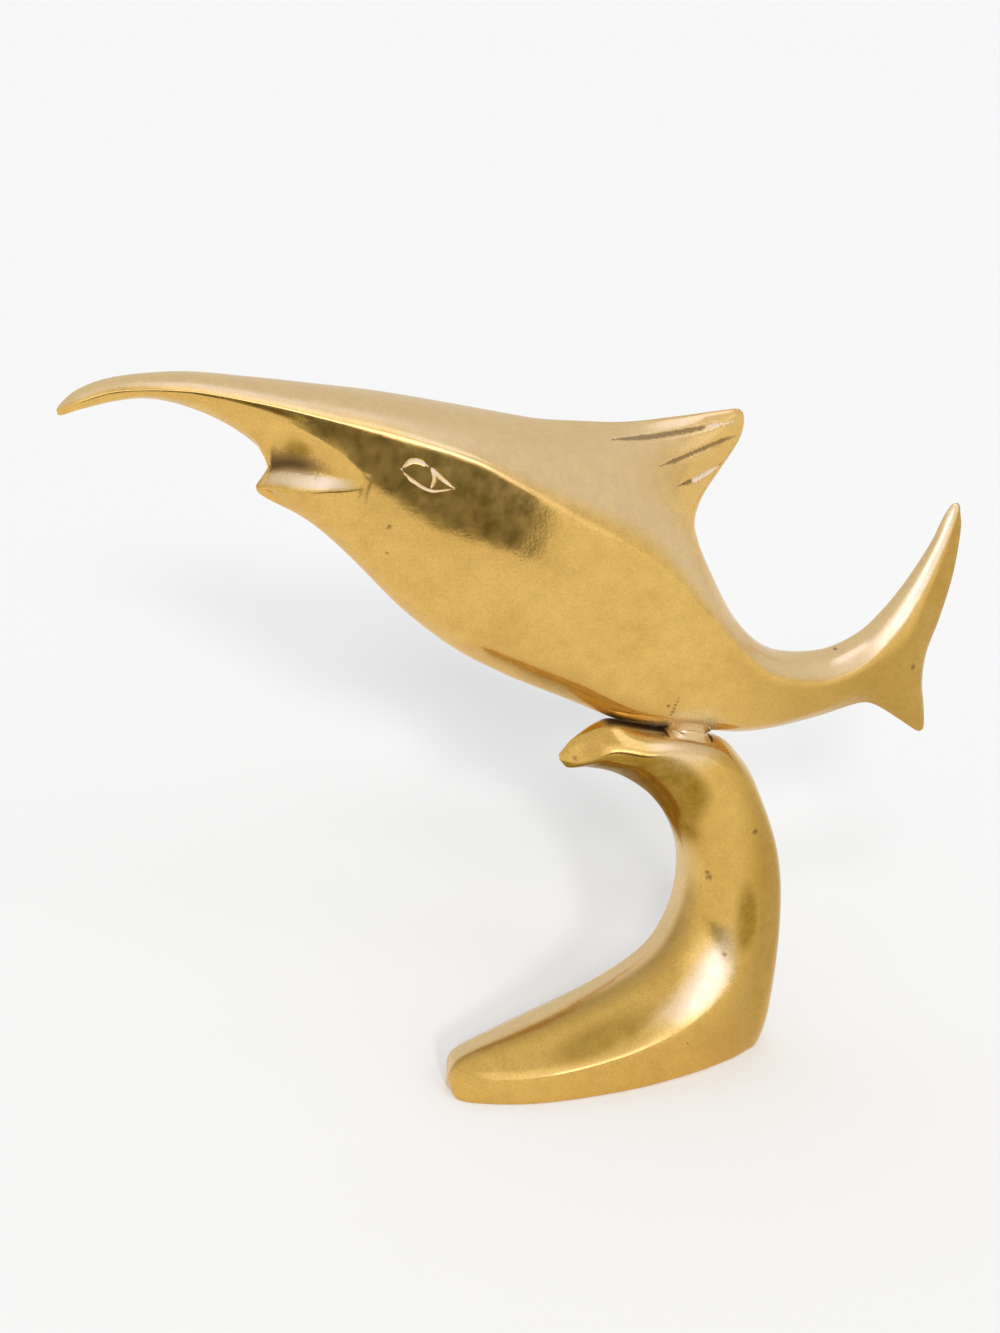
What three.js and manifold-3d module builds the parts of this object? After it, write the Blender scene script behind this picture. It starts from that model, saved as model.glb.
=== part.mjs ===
// A brass swordfish that leaps over a curling wave, 314 mm from bill to tail.
// Two castings: the fish, and the wave that it stands on. A threaded stud in blind holes holds
// them together, and a thin bead of braze closes the joint round the neck.
// Units are millimetres. +X runs from the bill to the tail, +Z is up, the fish lies in Y = 0,
// and the origin is on the floor under the middle of the whole figure.
import * as THREE from 'three';
import { mergeVertices } from 'three/addons/utils/BufferGeometryUtils.js';
import Module from 'manifold-3d';

// Fish: lengths of its five zones, from the tip of the bill to the end of the tail
const billLength = 65.5;
const headLength = 61.7;
const trunkLength = 82.4;
const stalkLength = 61.8;
const tailLength = 42.3;
// Fish: how high it rises over the seat on the neck, at the bill's arch and at the tail's tip
const headRise = 133.8;
const tailRise = 65.2;
// Fish: full thickness from side to side, at the bill's root, the body and the stalk
const billWidth = 13;
const bodyWidth = 43;
const stalkWidth = 22;
// Fish: how far behind the tip of the bill the neck's axis meets the belly
const seatFromTip = 206.7;
// Fish: length and height of the eye, run and drop of the fin rays from the tip of the fin, and the
// width and depth of their engraved lines
const eyeLength = 16.8;
const eyeHeight = 10;
const rayRun = 50;
const rayDrop = 24;
const engravingWidth = 1.9;
const engravingDepth = 0.7;

// Wave: length on the floor, height of the curl, and widths of foot, stem, curl and inner strip
const waveLength = 125.8;
const waveHeight = 131.6;
const footWidth = 42.4;
const stemWidth = 28;
const curlWidth = 15;
const stripWidth = 15;
// Wave: the neck that carries the fish. Its length along X, its width, how far the fish's seat is
// over the curl, how far its axis is behind the toe, how deep its root goes into the curl, how far
// it stays straight on the way down, and how much wider it is at the root.
const neckLength = 15;
const neckWidth = 15;
const neckHeight = 6.5;
const neckSetback = 85;
const neckRoot = 12;
const neckStraight = 3;
const neckSpread = 1.13;

// Joint: the stud, its reach into each casting, how deep the neck goes into the belly, the bead of
// braze round it, and the gaps
const studDiameter = 8;
const studInFish = 15;
const studInWave = 22;
const pocketDepth = 5.3;
const holeClearance = 0.3;
const brazeWidth = 1.6;
const brazeThickness = 1.3;
const jointGap = 0.3;
// Joint: how far cutters run past what they cut, and how far the bead's own reach up and down
const overshoot = 1;
const beadReach = 16;

// Outline rows of the fish. Each row is [station, percent along, percent of the rise], and side
// lines have the percent of the half thickness before the rise. Stations run from the bill's tip,
// 0, past the mouth, 4 to 6.5, the fin, 10 to 15, and the fork, 20, to the tail's tip, 24.5.
const backRows = [
  [0, 0, 93.3], [0.25, 0.4, 94.9], [1, 2.3, 97.9], [2, 6, 99.9], [3, 12.2, 99.9],
  [4, 18.9, 97.5], [5.5, 26.6, 94.2], [6.5, 32.3, 91.6], [8, 40.9, 86.7], [9, 46, 83.9],
  [10, 51.4, 81.2], [11, 58.4, 79.1], [12, 65.4, 79.5], [12.7, 70.6, 80.3], [13, 72.7, 80.2],
  [13.25, 73.2, 77.4], [13.6, 72.6, 72.2], [14, 70.5, 65.4], [14.6, 68, 57.8], [15, 66.8, 51.2],
  [16, 67.9, 50.1], [17, 71.8, 38.8], [18, 76.9, 30.4], [19, 83, 25.8], [20, 87.8, 33.1],
  [21, 91.1, 46.5], [22, 93.9, 62.4], [23, 96.4, 80.5], [23.6, 97.5, 92.5], [24, 98.5, 99.4],
  [24.5, 99.3, 100],
];
const keelRows = [
  [0, 0, 93], [0.25, 0.2, 91.9], [1, 2.2, 92.8], [2, 6.5, 94.2], [2.6, 9.7, 93.6],
  [3.2, 13.5, 90.3], [3.7, 17.3, 85], [4, 20.3, 78.8], [4.15, 20.8, 75.3], [4.6, 19.4, 72.2],
  [4.75, 19.1, 70.7], [5, 19.9, 68.5], [5.5, 23.4, 63.2], [6, 25.8, 58.1], [6.5, 29.1, 49.6],
  [7.2, 34.2, 35.9], [8, 39.7, 24.3], [9, 44.6, 16.4], [10, 49.2, 10.6], [11, 53.6, 5.5],
  [12, 57.8, 1.5], [13, 61.3, -1.2], [14, 64.2, -3], [15, 67, -4.6], [16, 70.2, -7.6],
  [17, 73.7, -11.8], [18, 77.4, -16], [19, 83, -12.9], [20, 88.4, -8.6], [20.5, 90.5, -11.3],
  [21, 93.7, -21.8], [21.5, 96.2, -30.2], [21.7, 96.9, -29.1], [22, 96.8, -18.4],
  [22.4, 96.3, -0.8], [22.8, 96.6, 16.1], [23.2, 98, 35.3], [23.6, 99.4, 59.8], [24, 100, 84.4],
  [24.5, 99.7, 96.6],
];
const ridgeRows = [
  [0, 0, 6, 93.2], [0.25, 0.3, 20, 93.9], [1, 2.3, 43, 95.4], [2, 6, 66, 97.3],
  [3, 12.5, 100, 96.4], [4, 18.9, 95, 92.9], [5.5, 26.6, 90, 87.8], [6.5, 32.3, 89, 83.3],
  [8, 40.6, 86, 75.9], [9, 45, 93, 70], [10, 49.8, 98, 64.1], [11, 53.8, 99, 59],
  [12, 57.2, 98, 54.6], [13, 59.7, 95, 50.1], [14, 62.3, 91, 43.7], [15, 64.5, 97, 37.4],
  [16, 67.2, 103, 36.5], [17, 70.7, 104, 31.8], [18, 75.3, 102, 22.7], [19, 82, 76, 13],
  [20, 87.1, 61, 16.6], [21, 90.9, 49, 28.5], [22, 93.7, 40, 42.9], [23, 96.4, 28, 64.4],
  [24, 98.6, 16, 87.4], [24.5, 99.5, 7, 98.2],
];
const finRootRows = [
  [0, 0, 5, 93.4], [1, 2.3, 28, 97.3], [2, 6, 43, 99.4], [3, 12.5, 65, 99.2],
  [4, 18.9, 61, 96.6], [5.5, 26.6, 57, 92.9], [6.5, 32.3, 56, 90], [8, 40.9, 53, 84.6],
  [9, 46, 54, 80.7], [10, 51.1, 49, 76.7], [11, 56.2, 40, 73.2], [12, 60.3, 33, 68.8],
  [13, 63.5, 29, 62.8], [14, 65.4, 26, 56.8], [15, 66.6, 33, 50.1], [16, 68.2, 45, 49.1],
  [17, 71.8, 55, 37.7], [18, 76.8, 60, 29.1], [19, 83, 44, 23.6], [20, 87.8, 35, 30.1],
  [21, 91.1, 28, 42.9], [22, 93.9, 23, 59], [23, 96.4, 16, 77.5], [24, 98.6, 9, 95.9],
  [24.5, 99.4, 5, 99.5],
];
const upperJawRows = [
  [3, 12.8, 102, 95.7], [4, 18.6, 88, 90.9], [4.6, 21.6, 82, 87.4], [5.5, 25.9, 83, 81.8],
  [6.2, 28.5, 83, 76.6], [6.5, 29.6, 82, 73.2],
];
const mouthRows = [
  [4.15, 20.8, 3, 75.3], [4.6, 21, 19, 75.9], [5, 22.4, 35, 76.5], [5.5, 24.8, 54, 75],
  [6.2, 27.8, 72, 73.2], [6.5, 29.4, 80, 72.9],
];
const lowerJawRows = [
  [4.15, 20.8, 2, 75.2], [4.75, 19.2, 7, 71], [5, 20.3, 36, 71.4], [5.5, 23.7, 64, 70.3],
  [6.2, 28, 82, 70.4], [6.5, 29.6, 84, 72.5],
];
const bellyRows = [
  [0, 3, 0.1], [1, 28, 0.7], [2, 43, 0.9], [3, 62, 1.6], [3.8, 51, 2.2], [4.15, 3, 0.1],
  [4.75, 5, 0.2], [5.5, 44, 1.6], [6.5, 56, 3.7], [8, 58, 6.7], [9, 60, 9], [11, 58, 7.8],
  [13, 49, 5.6], [15, 50, 4.1], [17, 59, 5.7], [18.5, 50, 6.1], [20, 35, 7.7], [21.5, 20, 9.2],
  [24.5, 4, 0.5],
];
const flankRows = [
  [0, 0], [1, 3], [3, 12], [5, 8], [7, 11], [9, 15], [12, 18], [15, 16], [17, 12], [19, 7],
  [21, 3], [24.5, 0],
];

// Outline rows of the wave, in the same way: from the toe, 0, along the foot, 1 to 6, up the
// stem, 7 to 9, and over the curl to its tip, 13.
const innerRows = [
  [0, 0, 5.3], [0.5, 1, 9.6], [1, 3.8, 12.2], [2, 17.2, 16.4], [3, 31.5, 20.7], [4, 47.4, 26.6],
  [5, 59.3, 33.4], [6, 65.5, 41.8], [7, 68.5, 51.7], [8, 68.4, 61.6], [9, 65.3, 70.3],
  [10, 58.9, 79], [11, 49.8, 85.6], [12, 40.6, 88.8], [12.7, 34.9, 89.4], [13, 32.9, 91.5],
];
const stripRows = [
  [0, 11], [0.5, 53], [1, 67], [2, 87], [3, 100], [7, 100], [9, 80], [11, 53], [12.4, 27],
  [13, 5],
];
const curlRows = [
  [0, 0, 4, 5.2], [0.5, 1.3, 24, 7.9], [1, 4.5, 35, 9.4], [2, 17.6, 50, 11.9],
  [3, 31.5, 59, 14.6], [4, 49.4, 62, 18.8], [5, 64.5, 59, 24.8], [6, 73.1, 61, 33.4],
  [7, 78, 66, 43.7], [8, 79.3, 79, 55.5], [9, 78.9, 84, 68.4], [9.5, 77.2, 94, 76.7],
  [10, 72.4, 101, 84.3], [10.5, 66.1, 102, 89.2], [11.1, 57.7, 104, 92.2],
  [12, 45.2, 96, 93.4], [12.7, 37.4, 45, 91.3], [13, 32.8, 7, 91.9],
];
const edgeRows = [
  [0, 0, 4, 5], [0.5, 1.7, 29, 6.1], [1, 5.2, 47, 6.5], [2, 18, 74, 7.6],
  [3, 31.5, 92, 9.4], [4, 51.4, 97, 12.2], [5, 69.6, 91, 16.7], [6, 80.8, 93, 25.1],
  [7, 87.1, 95, 35], [8, 89.7, 100, 48.6], [9, 88.7, 91, 63.8], [10, 85.2, 91, 78.3],
  [10.5, 81.9, 91, 85.1], [10.8, 76.5, 87, 89.7], [11.1, 67.2, 85, 92.4],
  [11.5, 55.3, 82, 94.7], [12, 46.6, 72, 96.5], [12.7, 37, 35, 93.4], [13, 32.7, 5, 92.4],
];
const skirtRows = [
  [0, 0, 4, 4.1], [0.5, 1.1, 29, 0], [1, 5.2, 51, 0], [2, 17.2, 82, 0],
  [3, 31.5, 97, 0], [4, 51.4, 100, 0], [5, 69.6, 85, 0], [6, 82.4, 71, 0],
  [6.6, 90.7, 53, 0.3], [7, 95.1, 58, 9.9], [8, 98.3, 67, 36.5], [9, 96.8, 60, 57.8],
  [10, 89.3, 61, 78.1], [10.5, 84.1, 56, 86.2], [10.8, 78.5, 52, 91.4],
  [11.1, 68.4, 47, 94], [11.5, 55.3, 44, 95.9], [12, 46.1, 37, 98.5],
  [12.7, 36.6, 19, 95.3], [13, 32.6, 3, 92.9],
];
const spineRows = [
  [0, 0, 4], [0.5, 1.7, 0], [1, 6, 0], [2, 17.2, 0], [3, 31.5, 0], [4, 51.4, 0], [5, 71.2, 0],
  [6, 87.1, 0], [6.6, 96.3, 0.2], [7, 98.7, 10.6], [8, 100, 38], [9, 98.7, 58.5],
  [10, 91.3, 78.8], [10.5, 85.8, 87], [10.8, 80, 92.4], [11.1, 68.8, 94.9], [11.5, 55.3, 97.1],
  [12, 45.8, 100], [12.7, 36.2, 97], [13, 32.4, 93.3],
];

// Corner shares: how far each drawn line is rounded off, as [station, share of the face].
// A small share leaves a crisp edge and the largest one lets the faces run together.
const softShare = 0.45;
const backCorners = [[0, 0.45], [9.3, 0.45], [10.6, 0.12], [14.6, 0.12], [15.6, 0.35], [18, 0.3],
  [20, 0.15], [24.5, 0.3]];
const ridgeCorners = [[0, 0.4], [0.5, 0.1], [9, 0.1], [10.5, 0.4], [16, 0.4], [18, 0.15],
  [24, 0.15], [24.5, 0.4]];
const jawCorners = [[0, 0.45], [3, 0.45], [3.5, 0.1], [6.3, 0.1], [7.2, 0.45], [24.5, 0.45]];
const mouthCorners = [[0, 0.45], [4, 0.45], [4.6, 0.12], [6.4, 0.12], [7.2, 0.45], [24.5, 0.45]];
const keelCorners = [[0, 0.45], [3.8, 0.4], [4.1, 0.2], [5.2, 0.2], [6.5, 0.4], [17, 0.4],
  [19.5, 0.2], [24, 0.15], [24.5, 0.4]];
const stripCorners = [[0, 0.4], [0.6, 0.2], [2, 0.15], [7, 0.15], [9, 0.25], [13, 0.4]];
const curlCorners = [[0, 0.45], [8.8, 0.45], [10.2, 0.15], [12.5, 0.12], [13, 0.4]];
const edgeCorners = [[0, 0.4], [0.6, 0.1], [9, 0.1], [10.3, 0.3], [10.8, 0.45], [13, 0.45]];
const skirtCorners = [[0, 0.4], [0.6, 0.1], [6, 0.1], [7, 0.4], [13, 0.45]];
const spineCorners = [[0, 0.45], [10, 0.45], [11.5, 0.15], [12.7, 0.15], [13, 0.4]];

// A straight run from pair to pair
function ramp(pairs, u) {
  let i = 0;
  while (i < pairs.length - 2 && pairs[i + 1][0] < u) i += 1;
  const share = (u - pairs[i][0]) / (pairs[i + 1][0] - pairs[i][0]);
  return THREE.MathUtils.lerp(pairs[i][1], pairs[i + 1][1], THREE.MathUtils.clamp(share, 0, 1));
}

// A smooth curve through rows of [station, values]: cubic pieces that share their slopes
function curveThrough(rows) {
  const last = rows.length - 1;
  const slopeAt = (i) => {
    const a = rows[Math.max(i - 1, 0)];
    const b = rows[Math.min(i + 1, last)];
    return a.slice(1).map((value, k) => (b[k + 1] - value) / (b[0] - a[0]));
  };
  const slopes = rows.map((row, i) => slopeAt(i));
  return (station) => {
    const u = THREE.MathUtils.clamp(station, rows[0][0], rows[last][0]);
    let i = 0;
    while (i < last - 1 && rows[i + 1][0] <= u) i += 1;
    const span = rows[i + 1][0] - rows[i][0];
    const s = (u - rows[i][0]) / span;
    return rows[i].slice(1).map((value, k) =>
      value * (2 * s ** 3 - 3 * s ** 2 + 1) + rows[i + 1][k + 1] * (3 * s ** 2 - 2 * s ** 3)
      + span * slopes[i][k] * (s ** 3 - 2 * s ** 2 + s) + span * slopes[i + 1][k] * (s ** 3 - s ** 2));
  };
}

// Half a section runs from the top line to the bottom line. Each drawn point is a corner of a
// polygon, and a parabola rounds it off from one of its faces to the other.
const cornerSteps = [0.15, 0.5, 0.85];
function sectionThrough(points, shares) {
  const mirrored = (p) => new THREE.Vector3(p.x, -p.y, p.z);
  const half = [];
  points.forEach((point, i) => {
    const before = i > 0 ? points[i - 1] : mirrored(points[1]);
    const after = i < points.length - 1 ? points[i + 1] : mirrored(points[i - 1]);
    const from = point.clone().lerp(before, shares[i]);
    const to = point.clone().lerp(after, shares[i]);
    cornerSteps.forEach((t) => {
      if ((i === 0 && t < 0.5) || (i === points.length - 1 && t > 0.5)) return;
      const p = from.clone().multiplyScalar((1 - t) ** 2);
      half.push(p.addScaledVector(point, 2 * t * (1 - t)).addScaledVector(to, t * t));
    });
  });
  half[0].y = 0;
  half[half.length - 1].y = 0;
  return half.concat(half.slice(1, -1).reverse().map(mirrored));
}

// Skins a row of rings and closes both ends on their middles, with the faces pointing out
function skinned(rings) {
  const count = rings[0].length;
  const points = rings.flat();
  [rings[0], rings[rings.length - 1]].forEach((ring) => {
    points.push(ring.reduce((sum, p) => sum.add(p), new THREE.Vector3()).divideScalar(count));
  });
  const faces = [];
  const first = points.length - 2;
  const last = points.length - 1;
  const end = (rings.length - 1) * count;
  for (let j = 0; j < count; j += 1) {
    const k = (j + 1) % count;
    for (let i = 0; i < end; i += count) {
      faces.push(i + j, i + count + k, i + k, i + j, i + count + j, i + count + k);
    }
    faces.push(first, j, k, last, end + k, end + j);
  }
  let volume = 0;
  for (let f = 0; f < faces.length; f += 3) {
    const [a, b, c] = [points[faces[f]], points[faces[f + 1]], points[faces[f + 2]]];
    volume += a.dot(new THREE.Vector3().crossVectors(b, c));
  }
  if (volume < 0) faces.reverse();
  const geometry = new THREE.BufferGeometry();
  const numbers = points.flatMap((p) => p.toArray());
  geometry.setAttribute('position', new THREE.Float32BufferAttribute(numbers, 3));
  geometry.setIndex(faces);
  return geometry;
}

// Every drawn station of the named rows, with more in between where they lie far apart
function stationsOf(rowSets, widest) {
  const drawn = [...new Set(rowSets.flat().map((row) => row[0]))].sort((a, b) => a - b);
  return drawn.flatMap((u, i) => {
    if (i === drawn.length - 1) return [u];
    const pieces = Math.ceil((drawn[i + 1] - u) / widest);
    return Array.from({ length: pieces }, (_, k) => u + ((drawn[i + 1] - u) * k) / pieces);
  });
}

// Wave: rows in percent of its length, of its half width there, and of its height
const waveWidths = [[0, footWidth], [5, footWidth], [8, stemWidth], [9, stemWidth],
  [12, curlWidth], [13, curlWidth]];
const waveX = (percent) => (waveLength * percent) / 100 - neckSetback;
const waveZ = (percent) => (waveHeight * percent) / 100;
const waveHalf = (u) => ramp(waveWidths, u) / 2;
const flatWaveLine = (rows) => curveThrough(rows.map(([u, x, z]) => [u, waveX(x), 0, waveZ(z)]));
const sideWaveLine = (rows) => curveThrough(rows.map(([u, x, y, z]) =>
  [u, waveX(x), (waveHalf(u) * y) / 100, waveZ(z)]));
const innerLine = flatWaveLine(innerRows);
const stripHalf = curveThrough(stripRows);
const curlLine = sideWaveLine(curlRows);
const edgeLine = sideWaveLine(edgeRows);
const skirtLine = sideWaveLine(skirtRows);
const spineLine = flatWaveLine(spineRows);

// Nothing of the wave goes below the floor
function waveSection(u) {
  const at = (line) => {
    const [x, y, z] = line(u);
    return new THREE.Vector3(x, y, Math.max(z, 0));
  };
  const inner = at(innerLine);
  const strip = inner.clone().setY((stripWidth / 200) * stripHalf(u)[0]);
  const points = [inner, strip, at(curlLine), at(edgeLine), at(skirtLine), at(spineLine)];
  const shares = [softShare, ramp(stripCorners, u), ramp(curlCorners, u), ramp(edgeCorners, u),
    ramp(skirtCorners, u), ramp(spineCorners, u)];
  return sectionThrough(points, shares);
}

// Height of a line where it crosses the neck's axis, X = 0. The crossing lies between a station on
// the bill's side and one on the tail's side, and the stretch is halved until it is found.
const halvings = 30;
function heightOverNeck(line, billSide, tailSide) {
  let from = billSide;
  let to = tailSide;
  for (let i = 0; i < halvings; i += 1) {
    const middle = (from + to) / 2;
    if (line(middle)[0] < 0) from = middle;
    else to = middle;
  }
  return line(from)[2];
}

// The neck stands on the spine of the curl, and the fish sits on its flat top
const spineTop = heightOverNeck(spineLine, 12.7, 9);
const seatZ = spineTop + neckHeight;

// Fish: rows in percent of its drawn length, of its half thickness there, and of its rise
const zoneEnds = [0, 20.9, 40.6, 66.8, 86.5, 100];
const zoneLengths = [billLength, headLength, trunkLength, stalkLength, tailLength];
function fishX(percent) {
  let x = -seatFromTip;
  zoneLengths.forEach((length, i) => {
    const share = (percent - zoneEnds[i]) / (zoneEnds[i + 1] - zoneEnds[i]);
    x += length * THREE.MathUtils.clamp(share, 0, 1);
  });
  return x;
}
const fishRises = [[0, headRise], [15, headRise], [18, tailRise], [24.5, tailRise]];
const fishWidths = [[0, billWidth], [3, billWidth], [8, bodyWidth], [14, bodyWidth],
  [18, stalkWidth], [24.5, stalkWidth]];
const fishRise = (u) => ramp(fishRises, u);
const fishHalf = (u) => ramp(fishWidths, u) / 2;
// The keel over the neck is a pocket's depth below the seat, and that sets the height of the fish
const keelRise = curveThrough(keelRows.map(([u, x, z]) => [u, fishX(x), 0, (fishRise(u) * z) / 100]));
const fishZ = seatZ - pocketDepth - heightOverNeck(keelRise, 11, 19);
const flatFishLine = (rows) => curveThrough(rows.map(([u, x, z]) =>
  [u, fishX(x), 0, fishZ + (fishRise(u) * z) / 100]));
const sideFishLine = (rows) => curveThrough(rows.map(([u, x, y, z]) =>
  [u, fishX(x), (fishHalf(u) * y) / 100, fishZ + (fishRise(u) * z) / 100]));
const backLine = flatFishLine(backRows);
const keelLine = flatFishLine(keelRows);
const ridgeLine = sideFishLine(ridgeRows);
const finRootLine = sideFishLine(finRootRows);
const upperJawLine = sideFishLine(upperJawRows);
const mouthLine = sideFishLine(mouthRows);
const lowerJawLine = sideFishLine(lowerJawRows);
const bellyLine = curveThrough(bellyRows.map(([u, y, z]) =>
  [u, (fishHalf(u) * y) / 100, (fishRise(u) * z) / 100]));
const flankSwell = curveThrough(flankRows);

// Where the jaw lines stand on the flank when there is no mouth: shares of its depth
const upperJawShare = 0.22;
const mouthShare = 0.5;
const lowerJawShare = 0.76;
// Stations where the jaw lines leave the flank, how far they take to open, and the mouth's corner
// with the distance behind it over which they close again
const upperJawStation = 2.8;
const mouthStation = 3.65;
const openingStations = 0.5;
const mouthCornerStation = 6.5;
const closingStations = 1.2;
// The belly's edge leans forward from the keel by this share of the way to the ridge, and it never
// quite meets the other side
const bellyLean = 0.3;
const leastHalf = 0.05;

function fishSection(u) {
  const at = (line) => new THREE.Vector3(...line(u));
  const keel = at(keelLine);
  const ridge = at(ridgeLine);
  const [bellyHalf, bellyRise] = bellyLine(u);
  const belly = new THREE.Vector3(
    THREE.MathUtils.lerp(keel.x, ridge.x, bellyLean),
    Math.max(bellyHalf, leastHalf),
    keel.z + bellyRise,
  );
  const swell = (fishHalf(u) * flankSwell(u)[0]) / 100;
  const flank = (share) => {
    const p = ridge.clone().lerp(belly, share);
    p.y += 4 * swell * share * (1 - share);
    return p;
  };
  const jaw = (line, share, start) => {
    const open = THREE.MathUtils.smoothstep(u, start, start + openingStations);
    const shut = THREE.MathUtils.smoothstep(u, mouthCornerStation, mouthCornerStation + closingStations);
    return flank(share).lerp(at(line), open * (1 - shut));
  };
  const points = [at(backLine), at(finRootLine), ridge,
    jaw(upperJawLine, upperJawShare, upperJawStation), jaw(mouthLine, mouthShare, mouthStation),
    jaw(lowerJawLine, lowerJawShare, mouthStation), belly, keel];
  const shares = [ramp(backCorners, u), softShare, ramp(ridgeCorners, u), ramp(jawCorners, u),
    ramp(mouthCorners, u), ramp(mouthCorners, u), softShare, ramp(keelCorners, u)];
  return sectionThrough(points, shares);
}

// Solids that are cut and joined
const wasm = await Module();
wasm.setup();

function solidOf(geometry) {
  const bare = geometry.clone();
  bare.deleteAttribute('normal');
  bare.deleteAttribute('uv');
  const merged = mergeVertices(bare);
  return new wasm.Manifold(new wasm.Mesh({
    numProp: 3,
    vertProperties: new Float32Array(merged.attributes.position.array),
    triVerts: new Uint32Array(merged.index.array),
  }));
}

function geometryOf(solid) {
  const mesh = solid.getMesh();
  const geometry = new THREE.BufferGeometry();
  geometry.setAttribute('position', new THREE.BufferAttribute(mesh.vertProperties, 3));
  geometry.setIndex(new THREE.BufferAttribute(mesh.triVerts, 1));
  return geometry;
}

// A solid turned round the stud's axis from [radius, height] pairs, stretched to an oval across
const turnedSides = 48;
function turned(profile, widthOverLength) {
  const outline = profile.map(([r, z]) => new THREE.Vector2(r, z));
  const shape = new THREE.LatheGeometry(outline, turnedSides);
  return solidOf(shape.rotateX(Math.PI / 2).scale(1, widthOverLength, 1));
}
const oval = (length, width, bottom, top) =>
  turned([[0, bottom], [length / 2, bottom], [length / 2, top], [0, top]], width / length);
const rod = (diameter, bottom, top) => oval(diameter, diameter, bottom, top);

// The widest step between two sections, in stations
const fishStationStep = 0.6;
const waveStationStep = 0.26;
const fishGeometry = skinned(stationsOf([backRows, keelRows], fishStationStep).map(fishSection));
const waveGeometry = skinned(stationsOf([innerRows, spineRows], waveStationStep).map(waveSection));
const fishBlank = solidOf(fishGeometry);
const waveBlank = solidOf(waveGeometry);

// A V-shaped engraved line that follows the flank, cut alike on both sides of the fish. The V is
// full size at the skin along the line, and shrinks to a share of it at both ends.
const engravingSteps = 10;
const engravingTip = 0.25;
const engravingTaper = 0.3;
const fishSkin = new THREE.Mesh(fishGeometry);
function flankAt(x, z) {
  const ray = new THREE.Raycaster(new THREE.Vector3(x, -bodyWidth, z), new THREE.Vector3(0, 1, 0));
  const hits = ray.intersectObject(fishSkin);
  return hits.length > 0 ? hits[0].point.y : 0;
}
function engraved(anchor, [length, height], percents, side) {
  const knots = percents.map(([x, z]) =>
    new THREE.Vector3(anchor.x + (length * x) / 100, 0, anchor.z + (height * z) / 100));
  const path = new THREE.CatmullRomCurve3(knots);
  const rings = Array.from({ length: engravingSteps + 1 }, (_, i) => {
    const t = i / engravingSteps;
    const p = path.getPoint(t);
    const tangent = path.getTangent(t);
    const fullness = THREE.MathUtils.smoothstep(Math.min(t, 1 - t), 0, engravingTaper);
    const size = THREE.MathUtils.lerp(engravingTip, 1, fullness);
    const across = new THREE.Vector3(-tangent.z, 0, tangent.x).multiplyScalar(engravingWidth * size);
    const skin = flankAt(p.x, p.z);
    const over = new THREE.Vector3(p.x, (skin - engravingDepth * size) * side, p.z);
    const under = new THREE.Vector3(p.x, (skin + engravingDepth * size) * side, p.z);
    return [over.clone().add(across), over.clone().sub(across), under];
  });
  return solidOf(skinned(rings));
}

// Eye: two lids and the edge of the iris, in percent of its length and height from its middle
const eyePercent = [35.5, 73.2];
const eye = new THREE.Vector3(fishX(eyePercent[0]), 0, fishZ + (headRise * eyePercent[1]) / 100);
const eyeLines = [
  [[-50, 29], [-32, 52], [-15, 50], [2, 32], [24, -2], [50, -44]],
  [[-50, 29], [-36, -1], [-23, -18], [-8, -36], [13, -48], [50, -44]],
  [[7, 19], [12, -10], [5, -41]],
];
// Fin rays: three grooves, in percent of their run and drop from the tip of the fin
const finTipStation = 13;
const finTip = new THREE.Vector3(...backLine(finTipStation));
const finRays = [
  [[-100, -26], [-73, -29], [-43, -27], [-8, -21]],
  [[-67, -68], [-50, -62], [-20, -47], [-7, -42]],
  [[-54, -98], [-36, -93], [-18, -80]],
];

let fish = fishBlank;
[1, -1].forEach((side) => {
  eyeLines.forEach((line) => {
    fish = fish.subtract(engraved(eye, [eyeLength, eyeHeight], line, side));
  });
  finRays.forEach((line) => {
    fish = fish.subtract(engraved(finTip, [rayRun, rayDrop], line, side));
  });
});

// The belly has a flat-topped pocket for the neck, and a blind hole for the stud over it
const studTop = seatZ + studInFish;
const studBottom = seatZ - studInWave;
const holeDiameter = studDiameter + 2 * holeClearance;
const pocketLength = neckLength + 2 * jointGap;
const pocketWidth = neckWidth + 2 * jointGap;
fish = fish.subtract(oval(pocketLength, pocketWidth, seatZ - beadReach, seatZ));
fish = fish.subtract(rod(holeDiameter, seatZ - overshoot, studTop + holeClearance));

// The neck spreads a little towards its root inside the curl, and holds the lower half of the stud
const neckProfile = [
  [0, spineTop - neckRoot], [(neckSpread * neckLength) / 2, spineTop - neckRoot],
  [neckLength / 2, spineTop - neckStraight], [neckLength / 2, seatZ], [0, seatZ],
];
const wave = waveBlank.add(turned(neckProfile, neckWidth / neckLength))
  .subtract(rod(holeDiameter, studBottom - holeClearance, seatZ + overshoot));

// The bead of braze follows the belly round the neck, clear of both castings by the joint gap
const beadBottom = seatZ - beadReach;
const beadTop = seatZ + beadReach;
const bead = oval(pocketLength + 2 * brazeWidth, pocketWidth + 2 * brazeWidth, beadBottom, beadTop)
  .intersect(fishBlank.translate([0, 0, -jointGap - brazeThickness]))
  .subtract(fishBlank.translate([0, 0, -jointGap]))
  .subtract(waveBlank.translate([0, 0, jointGap]))
  .subtract(oval(pocketLength, pocketWidth, beadBottom - overshoot, beadTop + overshoot));

const stud = rod(studDiameter, studBottom, studTop);

function part(name, solid, color, roughness) {
  const material = new THREE.MeshStandardMaterial({ color, roughness, metalness: 1 });
  const mesh = new THREE.Mesh(geometryOf(solid), material);
  mesh.name = name;
  return mesh;
}

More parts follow.
